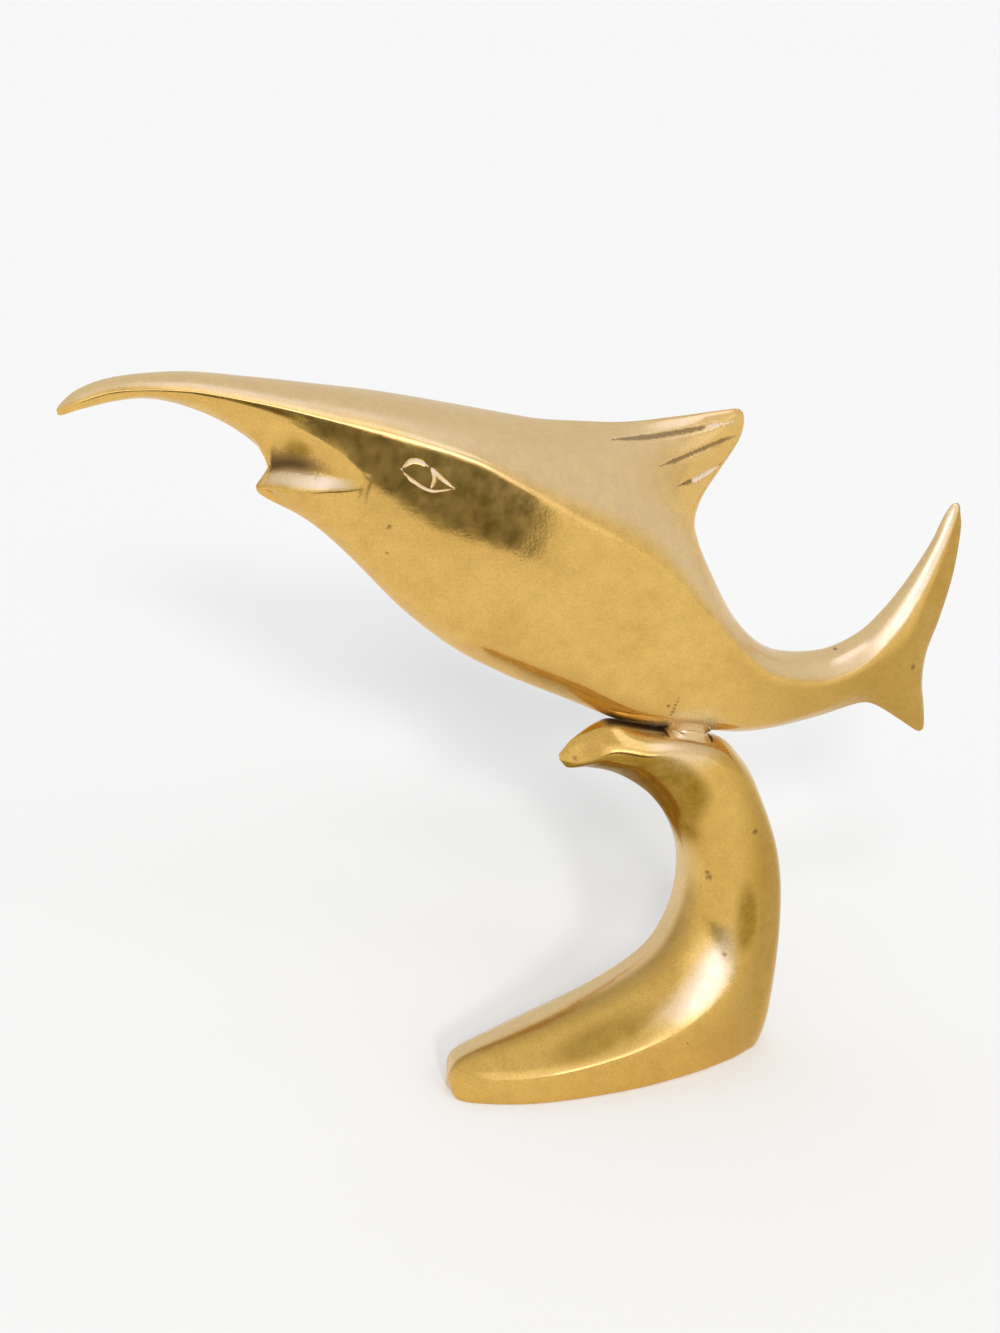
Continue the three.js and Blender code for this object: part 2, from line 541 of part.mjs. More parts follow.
const group = new THREE.Group();
group.add(
  part('swordfish_casting', fish, 0xd8ae5c, 0.3),
  part('wave_casting', wave, 0xd0a552, 0.3),
  part('braze_bead', bead, 0xc9a35a, 0.4),
  part('joining_stud', stud, 0xb5b2aa, 0.4),
);
// The fish is the longest piece, so its middle is the middle of the figure
group.position.x = -(fishX(zoneEnds[0]) + fishX(zoneEnds[5])) / 2;

export default group;
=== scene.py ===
# %% [markdown]
# # A brass swordfish that leaps over a wave
# The real object is two sand castings of brass, filed and polished by hand: the fish, and the wave
# under it. The construction model is loaded first and stays fixed. Everything below gives it the
# fine surface and the finish, in metres, in that model's own frame.

import math

import bmesh
import bpy
import numpy as np
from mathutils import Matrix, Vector


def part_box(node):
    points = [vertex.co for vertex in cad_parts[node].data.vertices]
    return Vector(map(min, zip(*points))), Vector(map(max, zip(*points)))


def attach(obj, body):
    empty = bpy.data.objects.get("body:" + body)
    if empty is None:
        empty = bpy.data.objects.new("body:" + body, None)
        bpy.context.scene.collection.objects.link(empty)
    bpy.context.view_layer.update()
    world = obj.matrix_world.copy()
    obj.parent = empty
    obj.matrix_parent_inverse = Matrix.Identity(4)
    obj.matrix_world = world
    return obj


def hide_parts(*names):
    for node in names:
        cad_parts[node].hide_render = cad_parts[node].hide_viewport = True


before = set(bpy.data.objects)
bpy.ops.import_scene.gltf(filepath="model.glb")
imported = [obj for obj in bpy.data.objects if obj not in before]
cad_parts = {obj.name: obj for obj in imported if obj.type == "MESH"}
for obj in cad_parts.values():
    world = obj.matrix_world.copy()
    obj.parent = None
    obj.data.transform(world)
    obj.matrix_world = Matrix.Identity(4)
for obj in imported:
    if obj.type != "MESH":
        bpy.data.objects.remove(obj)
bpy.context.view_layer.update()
FISH_LOW, FISH_HIGH = (np.array(corner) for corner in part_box("swordfish_casting"))
WAVE_LOW, WAVE_HIGH = (np.array(corner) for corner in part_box("wave_casting"))
STUD_LOW, STUD_HIGH = (np.array(corner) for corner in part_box("joining_stud"))
MM = 0.001
FAR = 99
print("pieces in the construction model:", sorted(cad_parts))

# %% [markdown]
# ## Camera
# The photograph looks at the fish's left side from a little in front and from above. A camera on
# a circle round the middle of the figure is the plainest way to say that: one azimuth, one
# elevation and one distance.

# %% Camera
CAMERA_AZIMUTH = math.radians(-20)
CAMERA_ELEVATION = math.radians(20)
CAMERA_DISTANCE = 0.8
CAMERA_LENS = 65
CAMERA_TARGET = Vector((-0.01555, 0, 0.157155))


def on_circle(target, azimuth, elevation, distance):
    """The point at a distance from the target: azimuth 0 is on the -Y side, and + is towards +X."""
    across = math.cos(elevation)
    way = Vector((math.sin(azimuth) * across, -math.cos(azimuth) * across, math.sin(elevation)))
    return target + distance * way


def placed(name, data):
    """A new object in the scene, at the origin."""
    thing = bpy.data.objects.new(name, data)
    bpy.context.scene.collection.objects.link(thing)
    return thing


camera = placed("camera", bpy.data.cameras.new("camera"))
camera.data.lens = CAMERA_LENS
camera.location = on_circle(CAMERA_TARGET, CAMERA_AZIMUTH, CAMERA_ELEVATION, CAMERA_DISTANCE)
camera.rotation_euler = (math.pi / 2 - CAMERA_ELEVATION, 0, CAMERA_AZIMUTH)
bpy.context.scene.camera = camera
print("camera at, mm:", [round(c / MM) for c in camera.location])

# %% [markdown]
# ## Helpers for materials
# Colours are written as the hex values that a screen shows, and one function turns them into the
# linear numbers that light is added up in. Another adds one node with its fields and its inputs
# and hands back its output, so that a material reads as a short list.

# %% Colour and node helpers


def linear(hex_colour):
    """Linear red, green, blue and alpha of an sRGB hex colour."""
    srgb = np.array([int(hex_colour[i:i + 2], 16) / 255 for i in (1, 3, 5)])
    channels = np.where(srgb <= 0.04045, srgb / 12.92, ((srgb + 0.055) / 1.055) ** 2.4)
    return (*(float(c) for c in channels), 1.0)


def add(tree, kind, inputs=(), out=0, **fields):
    """Adds a node and gives one of its outputs. Inputs come in the node's own order, or by name or
    number, each as a value or as another node's output."""
    node = tree.nodes.new("ShaderNode" + kind)
    for name, value in fields.items():
        setattr(node, name, value)
    for key, value in inputs.items() if isinstance(inputs, dict) else enumerate(inputs):
        if isinstance(value, bpy.types.NodeSocket):
            tree.links.new(value, node.inputs[key])
        else:
            node.inputs[key].default_value = value
    return node.outputs[out] if len(node.outputs) else None


def new_material(name):
    """An empty material, and the node tree to fill."""
    material = bpy.data.materials.new(name)
    material.use_nodes = True
    material.node_tree.nodes.clear()
    return material, material.node_tree


print("sRGB mid grey is linear", round(linear("#808080")[0], 3))

# %% [markdown]
# ## Pits
# A sand casting has pits: a few where grains of sand broke loose, and a short crack by the neck,
# which is drawn as a row of small ones. They could be cut into the mesh, but they are under 2 mm,
# so each is a distance to its place, made ragged by grit. Tiny gas pits are strewn by chance. A
# film that sits in a corner, and the painted shade laid as the same film, is broken up by the same
# grit, so that no edge of it looks drawn.

# %% Pits and broken edges
PIT_SPACING_MM = 17
PIT_RADIUS_MM = 0.42
# Pits left by loose sand: place and radius, in mm
SAND_PITS = [
    (59.4, -8.7, 72.2, 1.7), (58.6, -8.6, 74, 1.2), (108.6, -1.4, 148.8, 1), (138.8, -3.7, 139, 1.3),
    (-57.4, -13.3, 213.5, 1), (-57.7, -11.5, 204.4, 0.8), (40.6, -12.5, 140.2, 0.9),
    (42.2, -10.9, 136, 0.9), (42.5, -11.5, 137.4, 0.9), (42.8, -12.1, 138.8, 0.8),
    (43.1, -12.7, 140.2, 0.8), (43.4, -13.3, 141.6, 0.8), (43.7, -13.9, 143, 0.7),
    (10.6, -2.6, 121.5, 1), (75, -12.1, 88.5, 1.3), (63.9, -14.4, 43.7, 1.2),
]
RAGGED = 1.2


def pitted(tree, place, grit):
    """How much of a pit each point is in, from 0 to 1."""
    chance = add(tree, "TexVoronoi",
                 {"Vector": place, "Scale": 1 / (PIT_SPACING_MM * MM), "Randomness": 1.0})
    pit_edge = PIT_RADIUS_MM / PIT_SPACING_MM
    gas_pit = add(tree, "MapRange", (chance, pit_edge * 0.4, pit_edge, 1, 0))
    nearest = FAR
    for x, y, z, radius in SAND_PITS:
        apart = add(tree, "VectorMath", (place, (x * MM, y * MM, z * MM)), 1, operation="DISTANCE")
        radii = add(tree, "Math", (apart, radius * MM), operation="DIVIDE")
        nearest = add(tree, "Math", (nearest, radii), operation="MINIMUM")
    ragged = add(tree, "Math", (grit, RAGGED, nearest), operation="MULTIPLY_ADD")
    sand_pit = add(tree, "MapRange", (ragged, 0.9, 1.7, 0.75, 0))
    return add(tree, "Math", (gas_pit, sand_pit), operation="MAXIMUM")


def broken(tree, attribute, grit, amount):
    """An attribute of the piece whose edge and middle are broken up by grit."""
    value = add(tree, "Attribute", out="Fac", attribute_name=attribute)
    part = add(tree, "Math", (grit, amount, -amount / 2), operation="MULTIPLY_ADD")
    present = add(tree, "MapRange", (add(tree, "Math", (value, part)), 0.3, 0.6))
    return add(tree, "MapRange", (present, 0, 1, 0, value))


print("sand pits:", len(SAND_PITS))

# %% [markdown]
# ## Polished brass
# Brass of a casting like this is polished by hand on a mop. What that gives the eye is a warm
# mirror that is never quite clear. One lobe of reflection is clear and a second one, cloudy and
# uneven, lies over it. Under both are broad soft waves left by the file and a fine orange skin.
# The metal's colour wanders a little, with a fine grit. Real grit and orange skin are finer than
# the picture can show, so they are drawn about 1 mm wide.
# The piece says where four more finishes lie, as attributes: a pale haze, where the mop doesn't
# reach and also as painted highlight and the back's painted brighter reflection; dark gold, partly
# tarnish and partly painted dark reflection and shade; a dry brown film in pits, grooves and the
# mouth, which by the neck and under the bill's ridge is painted shade; and white dried polish.
# Film and polish cover the metal, so they are dull and no metal, and hardly shine.
# A metal's colour is its reflection at a right angle, so the base colour carries the brass, and
# the default IOR is kept.

# %% Polished brass
BRASS = "#E9BE6A"
BRASS_WARM = "#D09A48"
BRASS_PALE = "#E9D7B4"
BROWN_FILM_AND_SHADE = "#3A2714"
DRIED_POLISH = "#C3B29F"
DARK_GOLD_TARNISH_AND_SHADE = "#8A6812"
# Mottle, the file's waves, orange skin and grit: size in mm, detail and roughness of the noise
PATTERNS = [(5, 5, 0.62), (22, 2, 0.5), (1.1, 2, 0.5), (0.7, 3, 0.5)]
# The least and most that such a noise mostly gives
NOISE = (0.3, 0.7)
WAVES_MM, SKIN_MM, PITS_MM = 0.25, 0.012, -0.15
CLOUDY = 0.45
FILM_BREAKS, POLISH_BREAKS = 1.2, 4.0
COVERED_GLOSS = 0.1


def polished_brass(name, colour, roughness):
    """Cast brass, mopped by hand: a metal under haze, mottle, tarnish, pits and a dark film.
    Haze, tarnish and film also carry painted highlights, dark reflections and shade.
    """
    material, tree = new_material(name)
    place = add(tree, "TexCoord", out="Object")
    mottle, waves, skin, grit = (
        add(tree, "TexNoise",
            {"Vector": place, "Scale": 1 / (size * MM), "Detail": detail, "Roughness": uneven})
        for size, detail, uneven in PATTERNS)
    pit = pitted(tree, place, grit)
    # Besides finish, the haze layer carries painted highlights, the tarnish layer painted dark reflections
    # and shade, and the groove layer painted shade.
    haze_and_painted_sheen = add(tree, "Attribute", out="Fac", attribute_name="haze_and_painted_sheen")
    tarnish_and_painted_shade = add(tree, "Attribute", out="Fac", attribute_name="tarnish_and_painted_shade")
    film_and_painted_shade = broken(tree, "film_and_painted_shade", grit, FILM_BREAKS)
    chalk = broken(tree, "chalk", grit, POLISH_BREAKS)
    dark = add(tree, "Math", (film_and_painted_shade, pit), operation="MAXIMUM")

    patches = add(tree, "MapRange", (mottle, *NOISE, 0.75, 1.25))
    patchy = add(tree, "Math", (tarnish_and_painted_shade, patches), operation="MULTIPLY", use_clamp=True)
    tone = add(tree, "MapRange", (waves, 0.35, 0.65, 0, 0.25))
    tint = add(tree, "Mix", {0: tone, 6: linear(colour), 7: linear(BRASS_WARM)}, 2, data_type="RGBA")
    for pattern, least, most in ((mottle, 0.9, 1.06), (grit, 0.88, 1.07)):
        level = add(tree, "MapRange", (pattern, *NOISE, least, most))
        tint = add(tree, "VectorMath", {0: tint, "Scale": level}, operation="SCALE")
    for share, cover in ((haze_and_painted_sheen, BRASS_PALE), (patchy, DARK_GOLD_TARNISH_AND_SHADE), (dark, BROWN_FILM_AND_SHADE),
                         (chalk, DRIED_POLISH)):
        tint = add(tree, "Mix", {0: share, 6: tint, 7: linear(cover)}, 2, data_type="RGBA")
    covered = add(tree, "Math", (chalk, dark), operation="MAXIMUM")
    metallic = add(tree, "Math", (1.0, covered), operation="SUBTRACT")

    rough = add(tree, "MapRange", (mottle, *NOISE, roughness - 0.02, roughness + 0.03))
    for share, more in ((haze_and_painted_sheen, 0.18), (dark, 0.3), (chalk, 0.5)):
        rough = add(tree, "Math", (share, more, rough), operation="MULTIPLY_ADD", use_clamp=True)
    bump = {}
    for height, reach in ((waves, WAVES_MM), (skin, SKIN_MM), (pit, PITS_MM)):
        bump = {"Normal": add(tree, "Bump", {"Height": height, "Strength": 1.0,
                                             "Distance": reach * MM, **bump})}
    look = {"Base Color": tint, "Metallic": metallic, "Specular IOR Level": COVERED_GLOSS, **bump}
    clear = add(tree, "BsdfPrincipled", {**look, "Roughness": rough})
    cloudy = add(tree, "BsdfPrincipled", {**look, "Roughness": CLOUDY})
    clouds = add(tree, "MapRange", (mottle, 0.35, 0.65, 0.07, 0.24))
    veil = add(tree, "Math", (haze_and_painted_sheen, 0.4, clouds), operation="MULTIPLY_ADD", use_clamp=True)
    add(tree, "OutputMaterial", (add(tree, "MixShader", (veil, clear, cloudy)),))
    return material


fish_brass = polished_brass("polished_cast_brass", BRASS, 0.11)
wave_brass = polished_brass("polished_cast_brass_wave", "#E3B862", 0.12)
braze = polished_brass("filed_braze", "#E0B362", 0.2)
print("brass is linear", [round(c, 3) for c in linear(BRASS)[:3]])

# %% [markdown]
# ## Surfaces by feature lines
# A carver of this fish sees a few long lines: the back, the edge where the back turns into the
# flank, the lips, the belly's edge and the keel. Between them the metal runs straight or swells
# a little, and each line is either crisp or worn soft. The surface is made the same way. A smooth
# curve runs through each line's points from the bill to the tail. At one station, all the lines
# together are the corners of half a section, and each corner is rounded off by a parabola. So the
# whole skin is one function of two numbers: the station, and the way round the section.

# %% Curves and sections


def ramp(pairs, u):
    """Straight runs from pair to pair."""
    table = np.array(pairs, float)
    return np.interp(u, table[:, 0], table[:, 1])


def eased(pairs, u):
    """From pair to pair by an even S, so that nothing bends at a pair."""
    table = np.array(pairs, float)
    t, values = table[:, 0], table[:, 1]
    i = np.clip(np.searchsorted(t, u, side="right") - 1, 0, len(t) - 2)
    return values[i] + (values[i + 1] - values[i]) * smoothstep((u - t[i]) / (t[i + 1] - t[i]))


def curve_through(rows, u):
    """Cubic pieces through rows of (station, values): each takes its slope at a row from the rows
    on both sides, so that neighbours share it."""
    table = np.array(rows, float)
    t, values = table[:, 0], table[:, 1:]
    ends = [(values[1] - values[0]) / (t[1] - t[0]), (values[-1] - values[-2]) / (t[-1] - t[-2])]
    inner = (values[2:] - values[:-2]) / (t[2:] - t[:-2])[:, None]
    slopes = np.concatenate([ends[:1], inner, ends[1:]])
    u = np.clip(u, t[0], t[-1])
    i = np.clip(np.searchsorted(t, u, side="right") - 1, 0, len(t) - 2)
    span = (t[i + 1] - t[i])[:, None]
    s = (u - t[i])[:, None] / span
    return (values[i] * (2 * s**3 - 3 * s**2 + 1) + values[i + 1] * (3 * s**2 - 2 * s**3)
            + span * slopes[i] * (s**3 - 2 * s**2 + s) + span * slopes[i + 1] * (s**3 - s**2))


def smoothstep(x):
    """0 below 0, 1 above 1, and an even S between."""
    x = np.clip(x, 0, 1)
    return x * x * (3 - 2 * x)


def rounded_corner(before, corner, after, share, t):
    """A parabola from `share` of the way back to `share` of the way on, for t from 0 to 1."""
    start = corner + (before - corner) * share
    end = corner + (after - corner) * share
    return start * (1 - t) ** 2 + corner * 2 * t * (1 - t) + end * t * t


def carrying(line, *numbers):
    """A line's points with more numbers after x, y and z."""
    return np.column_stack([line, *(np.broadcast_to(number, len(line)) for number in numbers)])


def bulge(share):
    """A parabola of a share from 0 to 1, which is 0 at both ends and 1 in the middle."""
    return 4 * share * (1 - share)


def section_point(corners, share_rows, u, v):
    """The point at v on half a section: corner i is at v = i, the run to the next one is straight,
    and the corners are rounded. The other side mirrors the first and last corners' neighbours.
    Corners may carry more numbers after x, y and z, and those run along in the same way."""
    shares = np.stack([eased(rows, u) for rows in share_rows], 1)
    row = np.arange(len(v))
    i = np.clip(np.floor(v).astype(int), 0, corners.shape[1] - 2)
    f = (v - i)[:, None]
    mirror = np.where(np.arange(corners.shape[2]) == 1, -1, 1)
    ring = np.concatenate([corners[:, 1:2] * mirror, corners, corners[:, -2:-1] * mirror], 1)
    before, a, b, after = (ring[row, i + k] for k in range(4))
    share_a, share_b = shares[row, i][:, None], shares[row, i + 1][:, None]
    near_a = rounded_corner(before, a, b, share_a, 0.5 + 0.5 * f / share_a)
    near_b = rounded_corner(a, b, after, share_b, 0.5 * (f - 1 + share_b) / share_b)
    point = np.where(f < share_a, near_a, a + (b - a) * f)
    return np.where(f > 1 - share_b, near_b, point)


print("halfway up an S:", smoothstep(np.array([0.5]))[0])

# %% [markdown]
# ## The fish's lines
# The rows below are the construction model's lines, drawn finer at the mouth: a station from the
# bill's tip to the tail's, the percent of the length, the percent of the half thickness, and the
# percent of the rise over the neck. The keel dips to the crest of the curl, and the mouth's corner
# ends on the flank. The overall length and height come from the construction model's boxes.

# %% The fish's lines
BACK = [
    (0, 0, 93.3), (0.25, 0.4, 94.9), (1, 2.3, 97.9), (2, 6, 99.9), (3, 12.2, 99.9), (4, 18.9, 97.5),
    (5.5, 26.6, 94.2), (6.5, 32.3, 91.6), (8, 40.9, 86.7), (9, 46, 83.9), (10, 51.4, 81.2),
    (11, 58.4, 79.1), (12, 65.4, 79.5), (12.7, 70.6, 80.3), (13, 72.7, 80.2), (13.25, 73.2, 77.4),
    (13.6, 72.6, 72.2), (14, 70.5, 65.4), (14.6, 68, 57.8), (15, 66.8, 51.2), (16, 67.9, 50.1),
    (17, 71.8, 38.8), (18, 76.9, 30.4), (19, 83, 25.8), (20, 87.8, 33.1), (21, 91.1, 46.5),
    (22, 93.9, 62.4), (23, 96.4, 80.5), (23.6, 97.5, 92.5), (24, 98.5, 99.4), (24.5, 99.3, 100),
]
KEEL = [
    (0, 0, 93), (0.25, 0.2, 91.9), (1, 2.2, 92.8), (2, 6.5, 94.2), (2.6, 9.7, 93.6), (3.2, 13.5, 90.3),
    (3.7, 17.3, 85), (4, 20.3, 78.8), (4.15, 20.8, 75.3), (4.6, 19.4, 72.2), (4.75, 19.1, 70.7),
    (5, 19.9, 68.5), (5.5, 23.4, 63.2), (6, 25.8, 58.1), (6.5, 29.1, 49.6), (7.2, 34.2, 35.9),
    (8, 39.7, 24.3), (9, 44.6, 16.4), (10, 49.2, 10.6), (11, 53.6, 5.5), (12, 57.8, 0.5),
    (13, 61.3, -2.2), (14, 64.2, -3.6), (15, 67, -4.6), (16, 70.2, -7.6), (17, 73.7, -11.8),
    (18, 77.4, -16), (19, 83, -12.9), (20, 88.4, -8.6), (20.5, 90.5, -11.3), (21, 93.7, -21.8),
    (21.5, 96.2, -30.2), (21.7, 96.9, -29.1), (22, 96.8, -18.4), (22.4, 96.3, -0.8), (22.8, 96.6, 16.1),
    (23.2, 98, 35.3), (23.6, 99.4, 59.8), (24, 100, 84.4), (24.5, 99.7, 96.6),
]
RIDGE = [
    (0, 0, 6, 93.2), (0.25, 0.3, 20, 93.9), (1, 2.3, 43, 95.4), (2, 6, 66, 97.3), (3, 12.5, 100, 96.4),
    (4, 18.9, 95, 92.9), (5.5, 26.6, 90, 87.8), (6.5, 32.3, 89, 83.8), (8, 40.6, 86, 76.5),
    (9, 45, 93, 70.5), (10, 49.8, 98, 64.1), (11, 53.8, 99, 59), (12, 57.2, 98, 54.6),
    (13, 59.7, 95, 50.1), (14, 62.3, 91, 43.7), (15, 64.5, 97, 37.4), (16, 67.2, 103, 36.5),
    (17, 70.7, 104, 31.8), (18, 75.3, 102, 22.7), (19, 82, 76, 13), (20, 87.1, 61, 16.6),
    (21, 90.9, 49, 28.5), (22, 93.7, 40, 42.9), (23, 96.4, 28, 64.4), (24, 98.6, 16, 87.4),
    (24.5, 99.5, 7, 98.2),
]
FIN_ROOT = [
    (0, 0, 5, 93.4), (1, 2.3, 28, 97.3), (2, 6, 43, 99.4), (3, 12.5, 65, 99.2), (4, 18.9, 61, 96.6),
    (5.5, 26.6, 57, 92.9), (6.5, 32.3, 56, 90), (8, 40.9, 53, 84.6), (9, 46, 54, 80.7),
    (10, 51.1, 49, 76.7), (11, 56.2, 40, 73.2), (12, 60.3, 33, 68.8), (13, 63.5, 29, 62.8),
    (14, 65.4, 26, 56.8), (15, 66.6, 33, 50.1), (16, 68.2, 45, 49.1), (17, 71.8, 55, 37.7),
    (18, 76.8, 60, 29.1), (19, 83, 44, 23.6), (20, 87.8, 35, 30.1), (21, 91.1, 28, 42.9),
    (22, 93.9, 23, 59), (23, 96.4, 16, 77.5), (24, 98.6, 9, 95.9), (24.5, 99.4, 5, 99.5),
]
UPPER_JAW = [
    (3, 12.8, 102, 95.7), (4, 18.6, 88, 90.9), (4.6, 21.6, 82, 87.4), (5.5, 25.9, 83, 81.8),
    (5.9, 27.9, 84.4, 78), (6.1, 29, 84.6, 75.5), (6.3, 30.1, 85, 73.3),
]
MOUTH = [
    (4.15, 20.8, 3, 75.3), (4.6, 21, 21, 75.9), (5, 22.4, 40, 76.6), (5.5, 24.8, 59, 75.6),
    (5.9, 27.5, 74, 73.9), (6.1, 28.9, 81, 73.3), (6.3, 30.1, 84.7, 73),
]
LOWER_JAW = [
    (4.15, 20.8, 2, 75.2), (4.75, 19.2, 7, 71), (5, 20.3, 36, 71.4), (5.5, 23.7, 64, 70.3),
    (5.9, 27.5, 75.5, 70.1), (6.1, 28.8, 78.8, 70.6), (6.3, 30, 84.1, 72.4),
]
BELLY = [
    (0, 3, 0.1), (1, 28, 0.7), (2, 43, 0.9), (3, 62, 1.6), (3.8, 51, 2.2), (4.15, 3, 0.1),
    (4.75, 5, 0.2), (5.5, 44, 1.6), (6.5, 56, 3.7), (8, 58, 6.7), (9, 60, 9), (11, 58, 7.8),
    (13, 49, 5.6), (15, 50, 4.1), (17, 59, 5.7), (18.5, 50, 6.1), (20, 35, 7.7), (21.5, 20, 9.2),
    (24.5, 4, 0.5),
]
FLANK_SWELL = [
    (0, 0), (1, 3), (3, 12), (5, 8), (7, 11), (9, 15), (12, 18), (15, 16), (17, 12), (19, 7), (21, 3),
    (24.5, 0),
]
print("rows on the back:", len(BACK), "and on the keel:", len(KEEL))

# %% [markdown]
# ## Crisp and soft lines
# On the real fish the edge between back and flank is sharp from the bill to the middle of the
# body and then melts away, the fin and the tail are thin enough to have an edge, and the lips are
# cut sharp. A share says how much of the faces on both sides of a line its rounding takes.

# %% Crisp and soft lines
SOFT = [(0, 0.45), (1, 0.45)]
BACK_SHARE = [(9.3, 0.45), (10.6, 0.12), (14.6, 0.12), (15.6, 0.35), (18, 0.3), (20, 0.15), (24.5, 0.3)]
RIDGE_SHARE = [(0, 0.4), (0.5, 0.28), (4.5, 0.22), (6.2, 0.14), (8.9, 0.13), (10.5, 0.42), (16, 0.4),
               (18, 0.15), (24, 0.15), (24.5, 0.4)]
JAW_SHARE = [(3, 0.45), (3.5, 0.1), (6.3, 0.1), (7.2, 0.45)]
MOUTH_SHARE = [(4, 0.45), (4.6, 0.12), (6.4, 0.12), (7.2, 0.45)]
KEEL_SHARE = [(0, 0.45), (3.8, 0.4), (4.1, 0.2), (5.2, 0.2), (6.5, 0.4), (17, 0.4), (19.5, 0.2),
              (24, 0.15), (24.5, 0.4)]
FISH_SHARES = [BACK_SHARE, SOFT, RIDGE_SHARE, JAW_SHARE, MOUTH_SHARE, MOUTH_SHARE, SOFT, KEEL_SHARE]

FISH_LENGTH = FISH_HIGH[0] - FISH_LOW[0]
SEAT = WAVE_HIGH[2]
# A little under the construction model's own height and width, to stay inside its box
HEAD_RISE = FISH_HIGH[2] - SEAT - 0.1 * MM
TAIL_RISE = 65.2 * MM
BILL_WIDTH = 13 * MM
BODY_WIDTH = 42.5 * MM
STALK_WIDTH = 22 * MM
FISH_RISE = [(15, HEAD_RISE), (18, TAIL_RISE)]
FISH_WIDTH = [(3, BILL_WIDTH), (8, BODY_WIDTH), (14, BODY_WIDTH), (18, STALK_WIDTH)]
FISH_END = 24.5
FISH_CORNERS = 7
# The lips' rows, their shares of the flank where there is no mouth, and where each starts
LIPS = [(UPPER_JAW, 0.22, 2.8), (MOUTH, 0.5, 3.65), (LOWER_JAW, 0.76, 3.65)]
MOUTH_OPENING = 0.5
MOUTH_END, MOUTH_MEETING, MOUTH_CLOSING, CORNER_SHARE = 6.33, 0.16, 1.3, 0.42
BELLY_LEAN = 0.3
LEAST_HALF = 0.05 * MM


def laid_out(rows, u, front, length, width, floor, rise):
    """A line in metres. The percents are turned into metres row by row, and the curve runs through
    those. Rows with no half thickness lie in the middle plane."""
    table = np.array([row if len(row) == 4 else (row[0], row[1], 0, row[2]) for row in rows], float)
    station, along, half, up = table.T / [[1], [100], [100], [100]]
    return curve_through(np.stack([
        station, front + along * length, half * ramp(width, station) / 2,
        floor + up * ramp(rise, station)], 1), u)


def fish_line(rows, u):
    """A line of the fish in metres."""
    return laid_out(rows, u, FISH_LOW[0], FISH_LENGTH, FISH_WIDTH, SEAT, FISH_RISE)


def fish_skin(u, v):
    """Half of the fish: u is the station, and v goes from the back, 0, to the keel, 7. The corners
    are back, fin root, ridge, upper lip, mouth, lower lip, belly and keel. Each carries its share
    of the flank's depth along, and the flank swells by a parabola of that share, so that lines
    which only pass over the flank leave no crease. Where there is no mouth, its three lines lie
    at set shares."""
    back, keel = fish_line(BACK, u), fish_line(KEEL, u)
    ridge, root = fish_line(RIDGE, u), fish_line(FIN_ROOT, u)
    over_keel = fish_line([(station, 0, half, rise) for station, half, rise in BELLY], u)
    swell = fish_line([(station, 0, share, 0) for station, share in FLANK_SWELL], u)[:, 1]
    belly = keel + BELLY_LEAN * (ridge - keel) * [1, 0, 0]
    belly[:, 1] = np.maximum(over_keel[:, 1], LEAST_HALF)
    belly[:, 2] += over_keel[:, 2] - SEAT

    def lip(rows, share, start):
        opened = smoothstep((u - start) / MOUTH_OPENING)
        meeting = smoothstep((u - MOUTH_END) / MOUTH_MEETING + 1)
        closed = smoothstep((u - MOUTH_END) / MOUTH_CLOSING)
        own = share + (CORNER_SHARE - share) * meeting * (1 - closed)
        flank = ridge + (belly - ridge) * own[:, None]
        drawn = fish_line(rows, u)
        depth = np.clip((ridge[:, 2] - drawn[:, 2]) / (ridge[:, 2] - belly[:, 2]), 0, 1)
        drawn[:, 1] -= swell * bulge(depth)
        here = (opened * (1 - meeting))[:, None]
        return carrying(flank * (1 - here) + drawn * here, own * (1 - here[:, 0]) + depth * here[:, 0])

    corners = np.stack([
        carrying(back, 0), carrying(root, 0), carrying(ridge, 0), *(lip(*row) for row in LIPS),
        carrying(belly, 1), carrying(keel, 1)], 1)
    point = section_point(corners, FISH_SHARES, u, v)
    point[:, 1] += swell * bulge(point[:, 3])
    return point[:, :3]


widest = fish_skin(np.full(50, 10.0), np.linspace(0, FISH_CORNERS, 50))
print("half thickness of the body at station 10, mm:", round(widest[:, 1].max() / MM, 1))

# %% [markdown]
# ## The wave's lines
# The wave has a flat foot like a boat's hull, a stem that narrows, and a curl that ends in a
# point, close under the belly. A narrow strip runs along its inner side, and a crisp edge runs
# down its outer side. Six lines carry it: inner middle, strip edge, curl line, outer edge, skirt
# and spine. Its rows are read as the fish's are, with the rise from the floor.

# %% The wave's lines
INNER = [
    (0, 0, 5.3), (0.5, 1, 9.6), (1, 3.8, 12.2), (2, 17.2, 16.4), (3, 31.5, 20.7), (4, 47.4, 26.6),
    (5, 59.3, 33.4), (6, 65.5, 41.8), (7, 68.5, 51.7), (8, 68.4, 61.6), (9, 65.3, 70.3), (10, 58.9, 79),
    (11, 49.8, 85.6), (12, 40.6, 88.8), (12.7, 34.9, 89.4), (13, 32.9, 91.5),
]
STRIP = [
    (0, 11), (0.5, 34), (1, 38), (2, 42), (3, 44), (7, 44), (8.5, 34), (9.5, 18), (11, 12), (12.4, 12),
    (13, 5),
]
CURL = [
    (0, 0, 4, 5.2), (0.5, 1.3, 24, 7.9), (1, 4.5, 35, 9.4), (2, 17.6, 50, 11.9), (3, 31.5, 59, 14.6),
    (4, 49.4, 62, 18.8), (5, 64.5, 59, 24.8), (6, 73.1, 61, 33.4), (7, 78, 66, 43.7),
    (8, 79.3, 79, 55.5), (9, 78.9, 84, 68.4), (9.5, 77.2, 94, 76.7), (10, 72.6, 101, 84.6),
    (10.5, 66.3, 102, 90.3), (11.1, 57.7, 104, 93.4), (12, 45.2, 96, 93.5), (12.7, 37.4, 45, 91),
    (13, 32.8, 7, 91.7),
]
